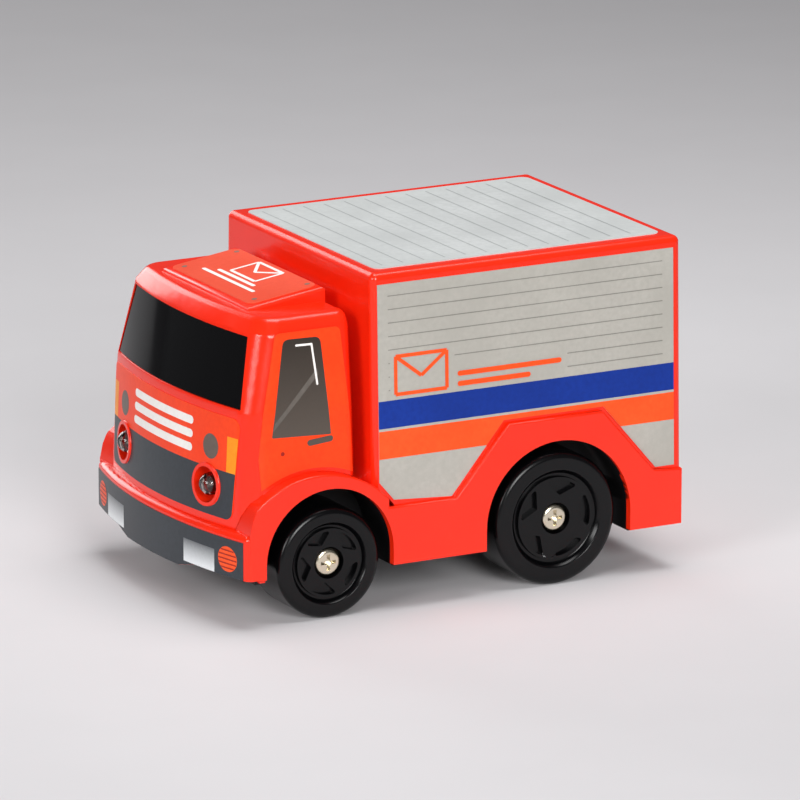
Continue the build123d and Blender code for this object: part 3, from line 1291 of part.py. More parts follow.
def save_drive():
    """Motor, gears, axles, wheels and their screws."""
    save("motor_housing", make_motor_housing())
    save("motor_end_cap", make_motor_cap())
    save("motor_magnets", make_motor_magnets())
    save("motor_rotor", make_motor_shaft())
    save("motor_pinion", make_motor_pinion())
    save("first_compound_gear", make_first_gear())
    save("second_compound_gear", make_second_gear())
    save("axle_gear", make_axle_gear())
    save("gear_pins", make_gear_pins())
    save("gear_case_inner", make_case_inner())
    save("gear_case_cover", make_case_cover())
    save("rear_axle", make_axle(REAR_AXLE_X, REAR_WHEEL_RADIUS))
    save("front_axle", make_axle(FRONT_AXLE_X, FRONT_WHEEL_RADIUS))
    screw = make_wheel_screw()
    rear = ("rear", REAR_AXLE_X, REAR_WHEEL_RADIUS, REAR_STAR_TURN_DEG)
    front = ("front", FRONT_AXLE_X, FRONT_WHEEL_RADIUS, FRONT_STAR_TURN_DEG)
    for name, x, radius, turn in (rear, front):
        wheel = place_left(make_wheel(radius, turn), x, radius)
        save(f"{name}_wheel_left", wheel)
        save(f"{name}_wheel_right", mirror(wheel, about=Plane.XZ))
        save(f"{name}_wheel_screws", both_sides(place_left(screw, x, radius)))


if __name__ == "__main__":
    os.makedirs("parts", exist_ok=True)
    save_body()
    save_chassis()
    save_electrics()
    save_drive()
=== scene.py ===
"""Looks of a small battery-powered toy delivery truck.

Moulded body, printed labels, wheels, lamps and the parts inside. Sizes are in millimetres unless a name
or a comment says metres; the truck's nose points along +X, its left side along +Y and up is +Z.
"""
from __future__ import annotations

import logging
import math
from dataclasses import dataclass, field
from enum import Enum

import bmesh
import bpy
from mathutils import Matrix, Vector


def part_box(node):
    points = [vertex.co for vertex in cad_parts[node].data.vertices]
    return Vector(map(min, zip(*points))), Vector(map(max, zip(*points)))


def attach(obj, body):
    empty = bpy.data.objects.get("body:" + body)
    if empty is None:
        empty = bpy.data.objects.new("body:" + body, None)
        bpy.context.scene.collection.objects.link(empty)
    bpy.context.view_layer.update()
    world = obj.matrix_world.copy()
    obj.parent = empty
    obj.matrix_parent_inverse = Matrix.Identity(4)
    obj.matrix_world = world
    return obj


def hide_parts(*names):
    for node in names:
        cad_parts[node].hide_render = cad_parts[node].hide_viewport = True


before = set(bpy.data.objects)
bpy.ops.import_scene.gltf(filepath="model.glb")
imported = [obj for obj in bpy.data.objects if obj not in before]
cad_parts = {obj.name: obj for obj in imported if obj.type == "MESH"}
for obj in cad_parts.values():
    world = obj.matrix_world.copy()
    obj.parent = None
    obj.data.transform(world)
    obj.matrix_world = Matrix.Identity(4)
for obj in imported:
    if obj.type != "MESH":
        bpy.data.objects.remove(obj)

LOG = logging.getLogger("delivery_truck")
MM = 0.001  # metres in a millimetre
LIFT_ON_FILM = 0.02  # first ink on a label
LIFT_ON_INK = 0.03  # small marks beside or over a first ink
LIFT_OVER_ALL = 0.08  # marks that cross several inks
LIFT_STEP = 0.002  # each outline of one ink above the one before
SAME_POINT = 2e-7  # metres within which two corners are one
FLAT_DEG = 0.2  # faces nearer than this to level with each other become one
FACING = 0.45  # least share of a face's direction that a print can lie on
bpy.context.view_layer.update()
Point = tuple[float, float]
Shape = list[Point]
Stroke = tuple[float, float, float, float]
Triple = tuple[float, float, float]


# ---- nodes and colours ---------------------------------------------------
def linear(code: str, alpha: float = 1.0) -> tuple[float, float, float, float]:
    """Turns an sRGB hex colour to linear.

    Args:
        code: colour as "#RRGGBB".
        alpha: fourth value of the result.

    Returns:
        Linear red, green, blue and alpha.
    """
    values = [int(code[k:k + 2], 16) / 255 for k in (1, 3, 5)]
    red, green, blue = [v / 12.92 if v <= 0.04045 else ((v + 0.055) / 1.055) ** 2.4 for v in values]
    return red, green, blue, alpha


def waves(size_mm: float) -> float:
    """Noise scale, in waves to the metre, of a pattern whose real size is in millimetres."""
    return 1000 / size_mm


def add_node(
    tree: bpy.types.NodeTree,
    kind: str,
    values: dict[str | int, object] | None = None,
    links: dict[str | int, bpy.types.NodeSocket] | None = None,
    **settings: object,
) -> bpy.types.Node:
    """Adds one node to a material's tree.

    Args:
        tree: the node tree.
        kind: the node's type name.
        values: input name or number to its constant.
        links: input name or number to the output that feeds it.
        **settings: the node's own properties.

    Returns:
        The new node.
    """
    node = tree.nodes.new(kind)
    for key, value in settings.items():
        setattr(node, key, value)
    for key, value in (values or {}).items():
        node.inputs[key].default_value = value
    for key, socket in (links or {}).items():
        tree.links.new(socket, node.inputs[key])
    return node


def empty_material(
    name: str,
) -> tuple[bpy.types.Material, bpy.types.NodeTree, bpy.types.NodeSocket]:
    """Starts a material.

    Args:
        name: what the material is.

    Returns:
        The material, its empty tree and the Object coordinate socket.
    """
    material = bpy.data.materials.new(name)
    material.use_nodes = True
    tree = material.node_tree
    tree.nodes.clear()
    place = add_node(tree, "ShaderNodeTexCoord").outputs["Object"]
    return material, tree, place


# ---- finishes ------------------------------------------------------------
@dataclass(frozen=True)
class Moulding:
    """Injection-moulded plastic: a little cloudy in colour, with a fine mould grain."""

    name: str
    colour: str
    shade: str
    roughness: float = 0.3
    ior: float = 1.53
    coat: float = 0.0
    cloud_mm: float = 9.0
    grain_mm: float = 0.6
    grain_deep_mm: float = 0.006
    glow: float = 0.0
    specular: float = 0.5

    def build(self) -> bpy.types.Material:
        """Makes the material."""
        material, tree, place = empty_material(self.name)
        cloud = add_node(tree, "ShaderNodeTexNoise", {"Scale": waves(self.cloud_mm), "Detail": 3.0},
                         {"Vector": place})
        tint = add_node(tree, "ShaderNodeMix", {6: linear(self.shade), 7: linear(self.colour)},
                        {0: cloud.outputs["Fac"]}, data_type="RGBA")
        haze = add_node(tree, "ShaderNodeMapRange",
                        {"From Min": 0.3, "From Max": 0.7, "To Min": self.roughness * 0.85,
                         "To Max": self.roughness * 1.2}, {"Value": cloud.outputs["Fac"]})
        grain = add_node(tree, "ShaderNodeTexNoise", {"Scale": waves(self.grain_mm), "Detail": 1.0},
                         {"Vector": place})
        bump = add_node(tree, "ShaderNodeBump",
                        {"Strength": 0.35, "Distance": self.grain_deep_mm * MM},
                        {"Height": grain.outputs["Fac"]})
        shader = add_node(tree, "ShaderNodeBsdfPrincipled",
                          {"IOR": self.ior, "Specular IOR Level": self.specular,
                           "Coat Weight": self.coat, "Coat Roughness": 0.06,
                           "Subsurface Weight": self.glow, "Subsurface Radius": (0.9, 0.25, 0.1),
                           "Subsurface Scale": 0.0012},
                          {"Base Color": tint.outputs[2], "Roughness": haze.outputs[0],
                           "Normal": bump.outputs["Normal"]})
        add_node(tree, "ShaderNodeOutputMaterial", None, {"Surface": shader.outputs[0]})
        return material


@dataclass(frozen=True)
class PrintedFilm:
    """Adhesive label film: flat screen-printed ink under a thin clear laminate, with a faint mottle."""

    name: str
    colour: str
    shade: str
    roughness: float = 0.38
    mottle_mm: float = 1.1
    drift_mm: float = 14.0
    coat: float = 0.1
    specular: float = 0.2

    def build(self) -> bpy.types.Material:
        """Makes the material."""
        material, tree, place = empty_material(self.name)
        mottle = add_node(tree, "ShaderNodeTexNoise", {"Scale": waves(self.mottle_mm), "Detail": 4.0},
                          {"Vector": place})
        drift = add_node(tree, "ShaderNodeTexNoise", {"Scale": waves(self.drift_mm), "Detail": 1.0},
                         {"Vector": place})
        both = add_node(tree, "ShaderNodeMath", None,
                        {0: mottle.outputs["Fac"], 1: drift.outputs["Fac"]}, operation="MULTIPLY")
        spread = add_node(tree, "ShaderNodeMapRange", {"From Min": 0.12, "From Max": 0.4},
                          {"Value": both.outputs[0]})
        tint = add_node(tree, "ShaderNodeMix", {6: linear(self.shade), 7: linear(self.colour)},
                        {0: spread.outputs[0]}, data_type="RGBA")
        haze = add_node(tree, "ShaderNodeMapRange",
                        {"To Min": self.roughness * 0.85, "To Max": self.roughness * 1.15},
                        {"Value": drift.outputs["Fac"]})
        bump = add_node(tree, "ShaderNodeBump", {"Strength": 0.3, "Distance": 0.004 * MM},
                        {"Height": drift.outputs["Fac"]})
        shader = add_node(tree, "ShaderNodeBsdfPrincipled",
                          {"IOR": 1.49, "Specular IOR Level": self.specular, "Coat Weight": self.coat,
                           "Coat Roughness": 0.12},
                          {"Base Color": tint.outputs[2], "Roughness": haze.outputs[0],
                           "Normal": bump.outputs["Normal"]})
        add_node(tree, "ShaderNodeOutputMaterial", None, {"Surface": shader.outputs[0]})
        return material


@dataclass(frozen=True)
class PrintedFade:
    """Printed patch whose ink fades along one row axis from one colour to another."""

    name: str
    start_colour: str
    end_colour: str
    axis: int
    start_mm: float
    end_mm: float
    roughness: float = 0.34
    dot_mm: float = 0.7

    def build(self) -> bpy.types.Material:
        """Makes the material."""
        material, tree, place = empty_material(self.name)
        parts = add_node(tree, "ShaderNodeSeparateXYZ", None, {0: place})
        ramp = add_node(tree, "ShaderNodeMapRange",
                        {"From Min": self.start_mm * MM, "From Max": self.end_mm * MM},
                        {"Value": parts.outputs[self.axis]})
        fine = add_node(tree, "ShaderNodeTexNoise", {"Scale": waves(self.dot_mm), "Detail": 2.0},
                        {"Vector": place})
        stir = add_node(tree, "ShaderNodeMapRange", {"To Min": -0.06, "To Max": 0.06},
                        {"Value": fine.outputs["Fac"]})
        total = add_node(tree, "ShaderNodeMath", None, {0: ramp.outputs[0], 1: stir.outputs[0]},
                         use_clamp=True)
        tint = add_node(tree, "ShaderNodeMix", {6: linear(self.start_colour), 7: linear(self.end_colour)},
                        {0: total.outputs[0]}, data_type="RGBA")
        shader = add_node(tree, "ShaderNodeBsdfPrincipled",
                          {"IOR": 1.49, "Roughness": self.roughness, "Coat Weight": 0.15,
                           "Coat Roughness": 0.12},
                          {"Base Color": tint.outputs[2]})
        add_node(tree, "ShaderNodeOutputMaterial", None, {"Surface": shader.outputs[0]})
        return material


@dataclass(frozen=True)
class Metal:
    """Turned, pressed or plated metal with fine tool marks."""

    name: str
    colour: str
    shade: str
    roughness: float = 0.28
    mark_mm: float = 0.25
    stretch: Triple = (1.0, 1.0, 1.0)

    def build(self) -> bpy.types.Material:
        """Makes the material."""
        material, tree, place = empty_material(self.name)
        turned = add_node(tree, "ShaderNodeMapping", {"Scale": self.stretch}, {"Vector": place})
        marks = add_node(tree, "ShaderNodeTexNoise", {"Scale": waves(self.mark_mm), "Detail": 3.0},
                         {"Vector": turned.outputs[0]})
        tint = add_node(tree, "ShaderNodeMix", {6: linear(self.shade), 7: linear(self.colour)},
                        {0: marks.outputs["Fac"]}, data_type="RGBA")
        haze = add_node(tree, "ShaderNodeMapRange",
                        {"To Min": self.roughness * 0.7, "To Max": self.roughness * 1.3},
                        {"Value": marks.outputs["Fac"]})
        bump = add_node(tree, "ShaderNodeBump", {"Strength": 0.3, "Distance": 0.005 * MM},
                        {"Height": marks.outputs["Fac"]})
        shader = add_node(tree, "ShaderNodeBsdfPrincipled", {"Metallic": 1.0},
                          {"Base Color": tint.outputs[2], "Roughness": haze.outputs[0],
                           "Normal": bump.outputs["Normal"]})
        add_node(tree, "ShaderNodeOutputMaterial", None, {"Surface": shader.outputs[0]})
        return material


@dataclass(frozen=True)
class ClearEpoxy:
    """Cast epoxy of a lamp, clear but smoky."""

    name: str
    colour: str = "#B4ADAA"
    swirl_mm: float = 1.5

    def build(self) -> bpy.types.Material:
        """Makes the material."""
        material, tree, place = empty_material(self.name)
        swirl = add_node(tree, "ShaderNodeTexNoise", {"Scale": waves(self.swirl_mm), "Detail": 1.0},
                         {"Vector": place})
        bump = add_node(tree, "ShaderNodeBump", {"Strength": 0.1, "Distance": 0.01 * MM},
                        {"Height": swirl.outputs["Fac"]})
        haze = add_node(tree, "ShaderNodeMapRange", {"To Min": 0.02, "To Max": 0.06},
                        {"Value": swirl.outputs["Fac"]})
        shader = add_node(tree, "ShaderNodeBsdfPrincipled",
                          {"Base Color": linear(self.colour), "IOR": 1.54, "Transmission Weight": 1.0},
                          {"Roughness": haze.outputs[0], "Normal": bump.outputs["Normal"]})
        add_node(tree, "ShaderNodeOutputMaterial", None, {"Surface": shader.outputs[0]})
        return material


@dataclass(frozen=True)
class CellJacket:
    """Shrink-wrapped jacket of a dry cell: a dark body and a coloured band towards the positive end."""

    name: str
    body: str
    band: str
    band_start_mm: float
    wrinkle_mm: float = 2.0

    def build(self) -> bpy.types.Material:
        """Makes the material."""
        material, tree, place = empty_material(self.name)
        parts = add_node(tree, "ShaderNodeSeparateXYZ", None, {0: place})
        edge = add_node(tree, "ShaderNodeMath", {1: self.band_start_mm * MM}, {0: parts.outputs[0]},
                        operation="GREATER_THAN")
        tint = add_node(tree, "ShaderNodeMix", {6: linear(self.body), 7: linear(self.band)},
                        {0: edge.outputs[0]}, data_type="RGBA")
        wrinkle = add_node(tree, "ShaderNodeTexNoise", {"Scale": waves(self.wrinkle_mm), "Detail": 1.0},
                           {"Vector": place})
        haze = add_node(tree, "ShaderNodeMapRange", {"To Min": 0.2, "To Max": 0.32},
                        {"Value": wrinkle.outputs["Fac"]})
        shader = add_node(tree, "ShaderNodeBsdfPrincipled", {"IOR": 1.5, "Metallic": 0.4},
                          {"Base Color": tint.outputs[2], "Roughness": haze.outputs[0]})
        add_node(tree, "ShaderNodeOutputMaterial", None, {"Surface": shader.outputs[0]})
        return material


class Finish(Enum):
    """Every finish used on the truck, by what it is."""

    # Clear bright red that the polished mould leaves glossy, with a soft glow at thin edges.
    BODY = Moulding("moulded glossy red ABS", "#FA2D0E", "#F4260B", roughness=0.22, coat=0.15,
                    glow=0.08, specular=0.35)
    # Near-black that a grained mould leaves matt, so the underside stays quiet.
    CHASSIS = Moulding("moulded matt black ABS", "#151517", "#0E0E10", roughness=0.5, specular=0.3,
                       grain_mm=0.45, grain_deep_mm=0.02)
    # Deep black with a satin sheen that draws the rims of the pockets.
    WHEEL = Moulding("moulded satin black ABS", "#08080A", "#050506", roughness=0.22, grain_mm=0.8,
                     specular=0.25)
    # Almost black pane with sharp, weak reflections.
    SCREEN = Moulding("tinted glossy acrylic", "#050506", "#040405", roughness=0.06,
                      grain_deep_mm=0.001, specular=0.45)
    # Waxy black that is a little lighter than the base around it.
    KNOB = Moulding("moulded black acetal", "#1B1B1C", "#141415", roughness=0.45)
    # Milky white that stays soft in its highlights.
    GEAR = Moulding("moulded white acetal", "#ECEBE4", "#E0DFD6", roughness=0.4)
    # Green lacquer over glass cloth: shiny, with a fine weave-like grain.
    BOARD = Moulding("green solder-masked fibreglass", "#1E6B3A", "#175A30", roughness=0.3,
                     grain_mm=0.9, grain_deep_mm=0.01)
    # Dull charcoal with no clear reflection.
    CHIP = Moulding("black epoxy chip package", "#1A1A1B", "#131314", roughness=0.6)
    # Dark blue film pulled tight, with a soft shine.
    CAN = Moulding("capacitor shrink sleeve", "#20324E", "#1A2A44", roughness=0.3)
    # Rubbery red without a sharp highlight.
    WIRE = Moulding("soft red PVC wire cover", "#B3231C", "#9C1C16", roughness=0.5)
    # Warm, bright plating that sparkles in the cross slot.
    WHEEL_SCREW = Metal("champagne nickel-plated screw steel", "#F1E9D6", "#D8CDB4", roughness=0.24)
    # Cool silver plating, a little clouded.
    SCREW = Metal("zinc-plated screw steel", "#D3D5D8", "#B4B7BB", roughness=0.34)
    # Bright rod with fine rings round it from grinding.
    AXLE = Metal("ground steel rod", "#D9DADB", "#C4C5C7", roughness=0.25, stretch=(1.0, 12.0, 1.0))
    # Pale, slightly yellow metal with a smooth shine.
    TIN = Metal("tin-plated spring steel", "#DEDCD4", "#C9C7BE", roughness=0.3)
    # Grey steel with faint drawing lines round the can.
    CAN_STEEL = Metal("drawn motor-can steel", "#C9CCCE", "#B0B4B7", roughness=0.36, stretch=(1.0, 6.0, 1.0))
    # Dark grey, rough and nearly unlit.
    MAGNET = Metal("sintered ferrite", "#4A4B4D", "#3B3C3E", roughness=0.6)
    # Silver darkened to stand for the shade deep in the lamp's bore (painted shade); it still glints behind
    # the lens.
    REFLECTOR = Metal("lamp cup darkened as painted shade", "#8C8480", "#6E6763", roughness=0.38)
    # Dark jacket with a copper band that marks the positive end.
    CELL = CellJacket("dry-cell shrink jacket", "#1D2430", "#B9743A", 14.0)
    # Smoky clear plastic that bends the cup and legs behind it.
    LENS = ClearEpoxy("clear cast epoxy")
    # Warm light grey paper tone with a faint mottle.
    LABEL_GREY = PrintedFilm("light grey printed film", "#B5B2AA", "#ABA8A0")
    # Cooler and paler grey than the sides.
    LABEL_ROOF = PrintedFilm("pale grey printed film", "#CDD0CF", "#C3C6C5")
    # Orange that stands just off the red body.
    LABEL_ORANGE = PrintedFilm("orange-red printed film", "#FF4614", "#F73D10")
    # Soft charcoal that reads as rubber or grille.
    LABEL_DARK = PrintedFilm("dark grey printed film", "#3A3F45", "#33383D")
    # Red film lightened to salmon: its own red with a painted highlight of the overhead light on the roof.
    LABEL_CAP_PAINTED_HIGHLIGHT = PrintedFilm("red printed film with painted highlight", "#EC5A40", "#E65036")
    # Strong even blue.
    INK_BLUE = PrintedFilm("blue screen ink", "#0E3595", "#0B2E86")
    # Strong orange, close to the cab label.
    INK_ORANGE = PrintedFilm("orange screen ink", "#FF5A24", "#F8501C")
    # Thin lines that show as a darker grey on the side film.
    INK_LINE = PrintedFilm("fine grey screen ink", "#8F8D86", "#84827B")
    # Thin lines that hardly show on the roof film.
    INK_FAINT = PrintedFilm("faint grey screen ink", "#A9ACAC", "#A1A4A4")
    # Opaque white, flat in its shine.
    INK_WHITE = PrintedFilm("white screen ink", "#FBF7F3", "#F3EEE9", roughness=0.45)
    # Brown-black window that gets lighter towards its sill.
    INK_GLASS = PrintedFade("smoke brown screen ink", "#322A23", "#514840", 2, 60.0, 40.0)
    # Drawn reflection, a step lighter than the window.
    INK_GLARE = PrintedFilm("thin grey screen ink", "#6B655F", "#5F5953")
    # Small grey dots on the cap.
    INK_RIVET = PrintedFilm("mid grey screen ink", "#8B7A70", "#7F6F66")
    # Drawn lamp, dark and warm against the orange.
    INK_LAMP = PrintedFilm("warm grey screen ink", "#6E6058", "#645750")
    # Drawn turn lamps, yellow-orange.
    INK_AMBER = PrintedFilm("amber screen ink", "#FF9A1A", "#F98F12")
    # Dark red strokes and dots.
    INK_DOT = PrintedFilm("dark red screen ink", "#A3261B", "#962117")
    # Drawn chrome lamp: dark at the top, near white below.
    FADE_SILVER = PrintedFade("silver fade screen ink", "#50555A", "#E8ECEE", 2, 16.2, 11.4)


MADE: dict[Finish, bpy.types.Material] = {}


def material_of(finish: Finish) -> bpy.types.Material:
    """Gives a finish's material, making it the first time.

    Args:
        finish: which finish.

    Returns:
        The Blender material.
    """
    if finish not in MADE:
        MADE[finish] = finish.value.build()
    return MADE[finish]


# ---- pieces --------------------------------------------------------------
def dress(piece: bpy.types.Object, finish: Finish) -> None:
    """Gives a piece one finish.

    Args:
        piece: the object.
        finish: its finish.
    """
    piece.data.materials.clear()
    piece.data.materials.append(material_of(finish))


def new_piece(
    name: str, bm: bmesh.types.BMesh, finish: Finish, body: str, smooth: bool = True
) -> bpy.types.Object:
    """Turns a bmesh, in the row frame, into a piece that rides on a body.

    Args:
        name: the piece's name.
        bm: its shape, which is freed.
        finish: its finish.
        body: the body it moves with.
        smooth: whether its faces are smooth shaded.

    Returns:
        The new object.
    """
    mesh = bpy.data.meshes.new(name)
    for face in bm.faces:
        face.smooth = smooth
    bm.to_mesh(mesh)
    bm.free()
    piece = bpy.data.objects.new(name, mesh)
    bpy.context.scene.collection.objects.link(piece)
    dress(piece, finish)
    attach(piece, body)
    LOG.info("%s rides on %s, %d faces", name, body, len(mesh.polygons))
    return piece


def crisp_above(piece: bpy.types.Object, angle_deg: float) -> None:
    """Keeps edges sharper than an angle crisp on a smooth-shaded piece."""
    piece.data.set_sharp_from_angle(angle=math.radians(angle_deg))


def aim(holder: bpy.types.Object, place: Triple, target: Triple) -> None:
    """Puts a light or camera in the scene and points it at a target.

    Args:
        holder: the light or camera object.
        place: where it stands, in metres.
        target: what it looks at, in metres.
    """
    bpy.context.scene.collection.objects.link(holder)
    holder.location = place
    holder.rotation_euler = (Vector(target) - Vector(place)).to_track_quat("-Z", "Y").to_euler()


def merged_copy(node: str) -> bmesh.types.BMesh:
    """Copies a CAD node's mesh with its loose triangles joined into whole faces.

    Args:
        node: the node's name.

    Returns:
        A new bmesh.
    """
    bm = bmesh.new()
    bm.from_mesh(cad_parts[node].data)
    bmesh.ops.remove_doubles(bm, verts=bm.verts, dist=SAME_POINT)
    bmesh.ops.dissolve_limit(bm, angle_limit=math.radians(FLAT_DEG), verts=bm.verts[:], edges=bm.edges[:])
    return bm


def polish(node: str, finish: Finish, body: str, angle_deg: float = 28.0) -> bpy.types.Object:
    """Stands a smooth-shaded skin in for a CAD node of the same shape.

    Args:
        node: the node's name.
        finish: its finish.
        body: the body it moves with.
        angle_deg: edges sharper than this stay crisp.

    Returns:
        The skin.
    """
    piece = new_piece(node + "_skin", merged_copy(node), finish, body)
    crisp_above(piece, angle_deg)
    weight = piece.modifiers.new("even shading", "WEIGHTED_NORMAL")
    weight.keep_sharp = True
    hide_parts(node)
    return piece


class View(Enum):
    """Which way a print is laid on, as its two row axes and the way it faces."""

    LEFT = (0, 2, (0.0, 1.0, 0.0))
    RIGHT = (0, 2, (0.0, -1.0, 0.0))
    FRONT = (1, 2, (1.0, 0.0, 0.0))
    REAR = (1, 2, (-1.0, 0.0, 0.0))
    TOP = (0, 1, (0.0, 0.0, 1.0))


def quad(u0: float, v0: float, u1: float, v1: float) -> Shape:
    """Rectangle from two corners, in millimetres."""
    return [(u0, v0), (u1, v0), (u1, v1), (u0, v1)]


def disc(u: float, v: float, ru: float, rv: float, steps: int = 28) -> Shape:
    """Ellipse about a centre.

    Args:
        u, v: centre.
        ru, rv: half axes.
        steps: sides.

    Returns:
        Its outline.
    """
    turn = 2 * math.pi / steps
    return [(u + ru * math.cos(turn * k), v + rv * math.sin(turn * k)) for k in range(steps)]


def pill(u0: float, v0: float, u1: float, v1: float, width: float, round_end: bool = True) -> Shape:
    """Stroke from one point to another.

    Args:
        u0, v0: start.
        u1, v1: end.
        width: how thick it is.
        round_end: half-round ends rather than square ones.

    Returns:
        Its outline.
    """
    along = math.atan2(v1 - v0, u1 - u0)
    shape = []
    steps = 8 if round_end else 1
    for (u, v), base in (((u1, v1), along - math.pi / 2), ((u0, v0), along + math.pi / 2)):
        for k in range(steps + 1):
            turn = base + math.pi * k / steps
            shape.append((u + width / 2 * math.cos(turn), v + width / 2 * math.sin(turn)))
    return shape


def rounded(shape: Shape, radii: list[float], steps: int = 6) -> Shape:
    """Rounds the corners of a convex outline.

    Args:
        shape: corners, in order.
        radii: radius at each corner.
        steps: sides in each arc.

    Returns:
        The rounded outline.
    """
    result = []
    count = len(shape)
    for k, radius in enumerate(radii):
        corner = Vector(shape[k])
        back = (Vector(shape[k - 1]) - corner).normalized()
        ahead = (Vector(shape[(k + 1) % count]) - corner).normalized()
        half = back.angle(ahead) / 2
        start = corner + back * radius / math.tan(half)
        end = corner + ahead * radius / math.tan(half)
        for j in range(steps + 1):
            t = j / steps
            bow = start.lerp(corner, t).lerp(corner.lerp(end, t), t)
            result.append((bow.x, bow.y))
    return result


def mirrored(shapes: list[Shape]) -> list[Shape]:
    """The same outlines and their mirror images across the first axis."""
    return shapes + [[(-u, v) for u, v in reversed(shape)] for shape in shapes]


def cut_patch(source: bmesh.types.BMesh, shape: Shape, view: View) -> bmesh.types.BMesh:
    """Cuts the part of a skin that lies inside a convex outline.

    Args:
        source: the skin, left as it is.
        shape: the outline, in millimetres along the view's two axes.
        view: which way it is seen.

    Returns:
        A new bmesh of the patch.
    """
    first, second, _ = view.value
    bm = source.copy()
    centre = Vector((sum(p[0] for p in shape), sum(p[1] for p in shape))) / len(shape)
    for k, start in enumerate(shape):
        end = shape[(k + 1) % len(shape)]
        side = Vector((end[1] - start[1], start[0] - end[0]))
        if side.length < 1e-6:
            continue
        if side.dot(Vector(start) - centre) < 0:
            side = -side
        place = Vector((0.0, 0.0, 0.0))
        normal = Vector((0.0, 0.0, 0.0))
        place[first], place[second] = start[0] * MM, start[1] * MM
        normal[first], normal[second] = side.normalized()
        bmesh.ops.bisect_plane(bm, geom=bm.verts[:] + bm.edges[:] + bm.faces[:], dist=1e-8, plane_co=place,
                               plane_no=normal, clear_outer=True)
    return bm


@dataclass
class Print:
    """One colour printed on a label: convex outlines cut from the label's own surface and raised a hair."""

    name: str
    node: str
    view: View
    finish: Finish
    shapes: list[Shape]
    lift_mm: float = LIFT_ON_FILM

    def build(self) -> bpy.types.Object:
        """Cuts, joins and raises the outlines.

        Returns:
            The print's object.
        """
        facing = Vector(self.view.value[2])
        skin = merged_copy(self.node)
        away = [face for face in skin.faces if face.normal.dot(facing) < FACING]
        bmesh.ops.delete(skin, geom=away, context="FACES")
        total = bmesh.new()
        for k, shape in enumerate(self.shapes):
            patch = cut_patch(skin, shape, self.view)
            patch.normal_update()
            for vert in patch.verts:
                vert.co += vert.normal * (self.lift_mm + LIFT_STEP * k) * MM
            mesh = bpy.data.meshes.new("patch")
            patch.to_mesh(mesh)
            patch.free()
            total.from_mesh(mesh)
            bpy.data.meshes.remove(mesh)
        skin.free()
        return new_piece(self.name, total, self.finish, "body")


# ---- labels --------------------------------------------------------------
def envelope(u: float, v: float, across: float, up: float, line: float) -> list[Shape]:
    """Outline drawing of a plain envelope.

    Args:
        u, v: its middle.
        across, up: half its size.
        line: how thick the drawn line is.

    Returns:
        Its strokes.
    """
    left, right, low, high = u - across, u + across, v - up, v + up
    fold = v - up * 0.15
    strokes = [(left, low, right, low), (left, high, right, high),
               (left, low, left, high), (right, low, right, high),
               (left, high, u, fold), (right, high, u, fold)]
    return [pill(*stroke, line, False) for stroke in strokes]


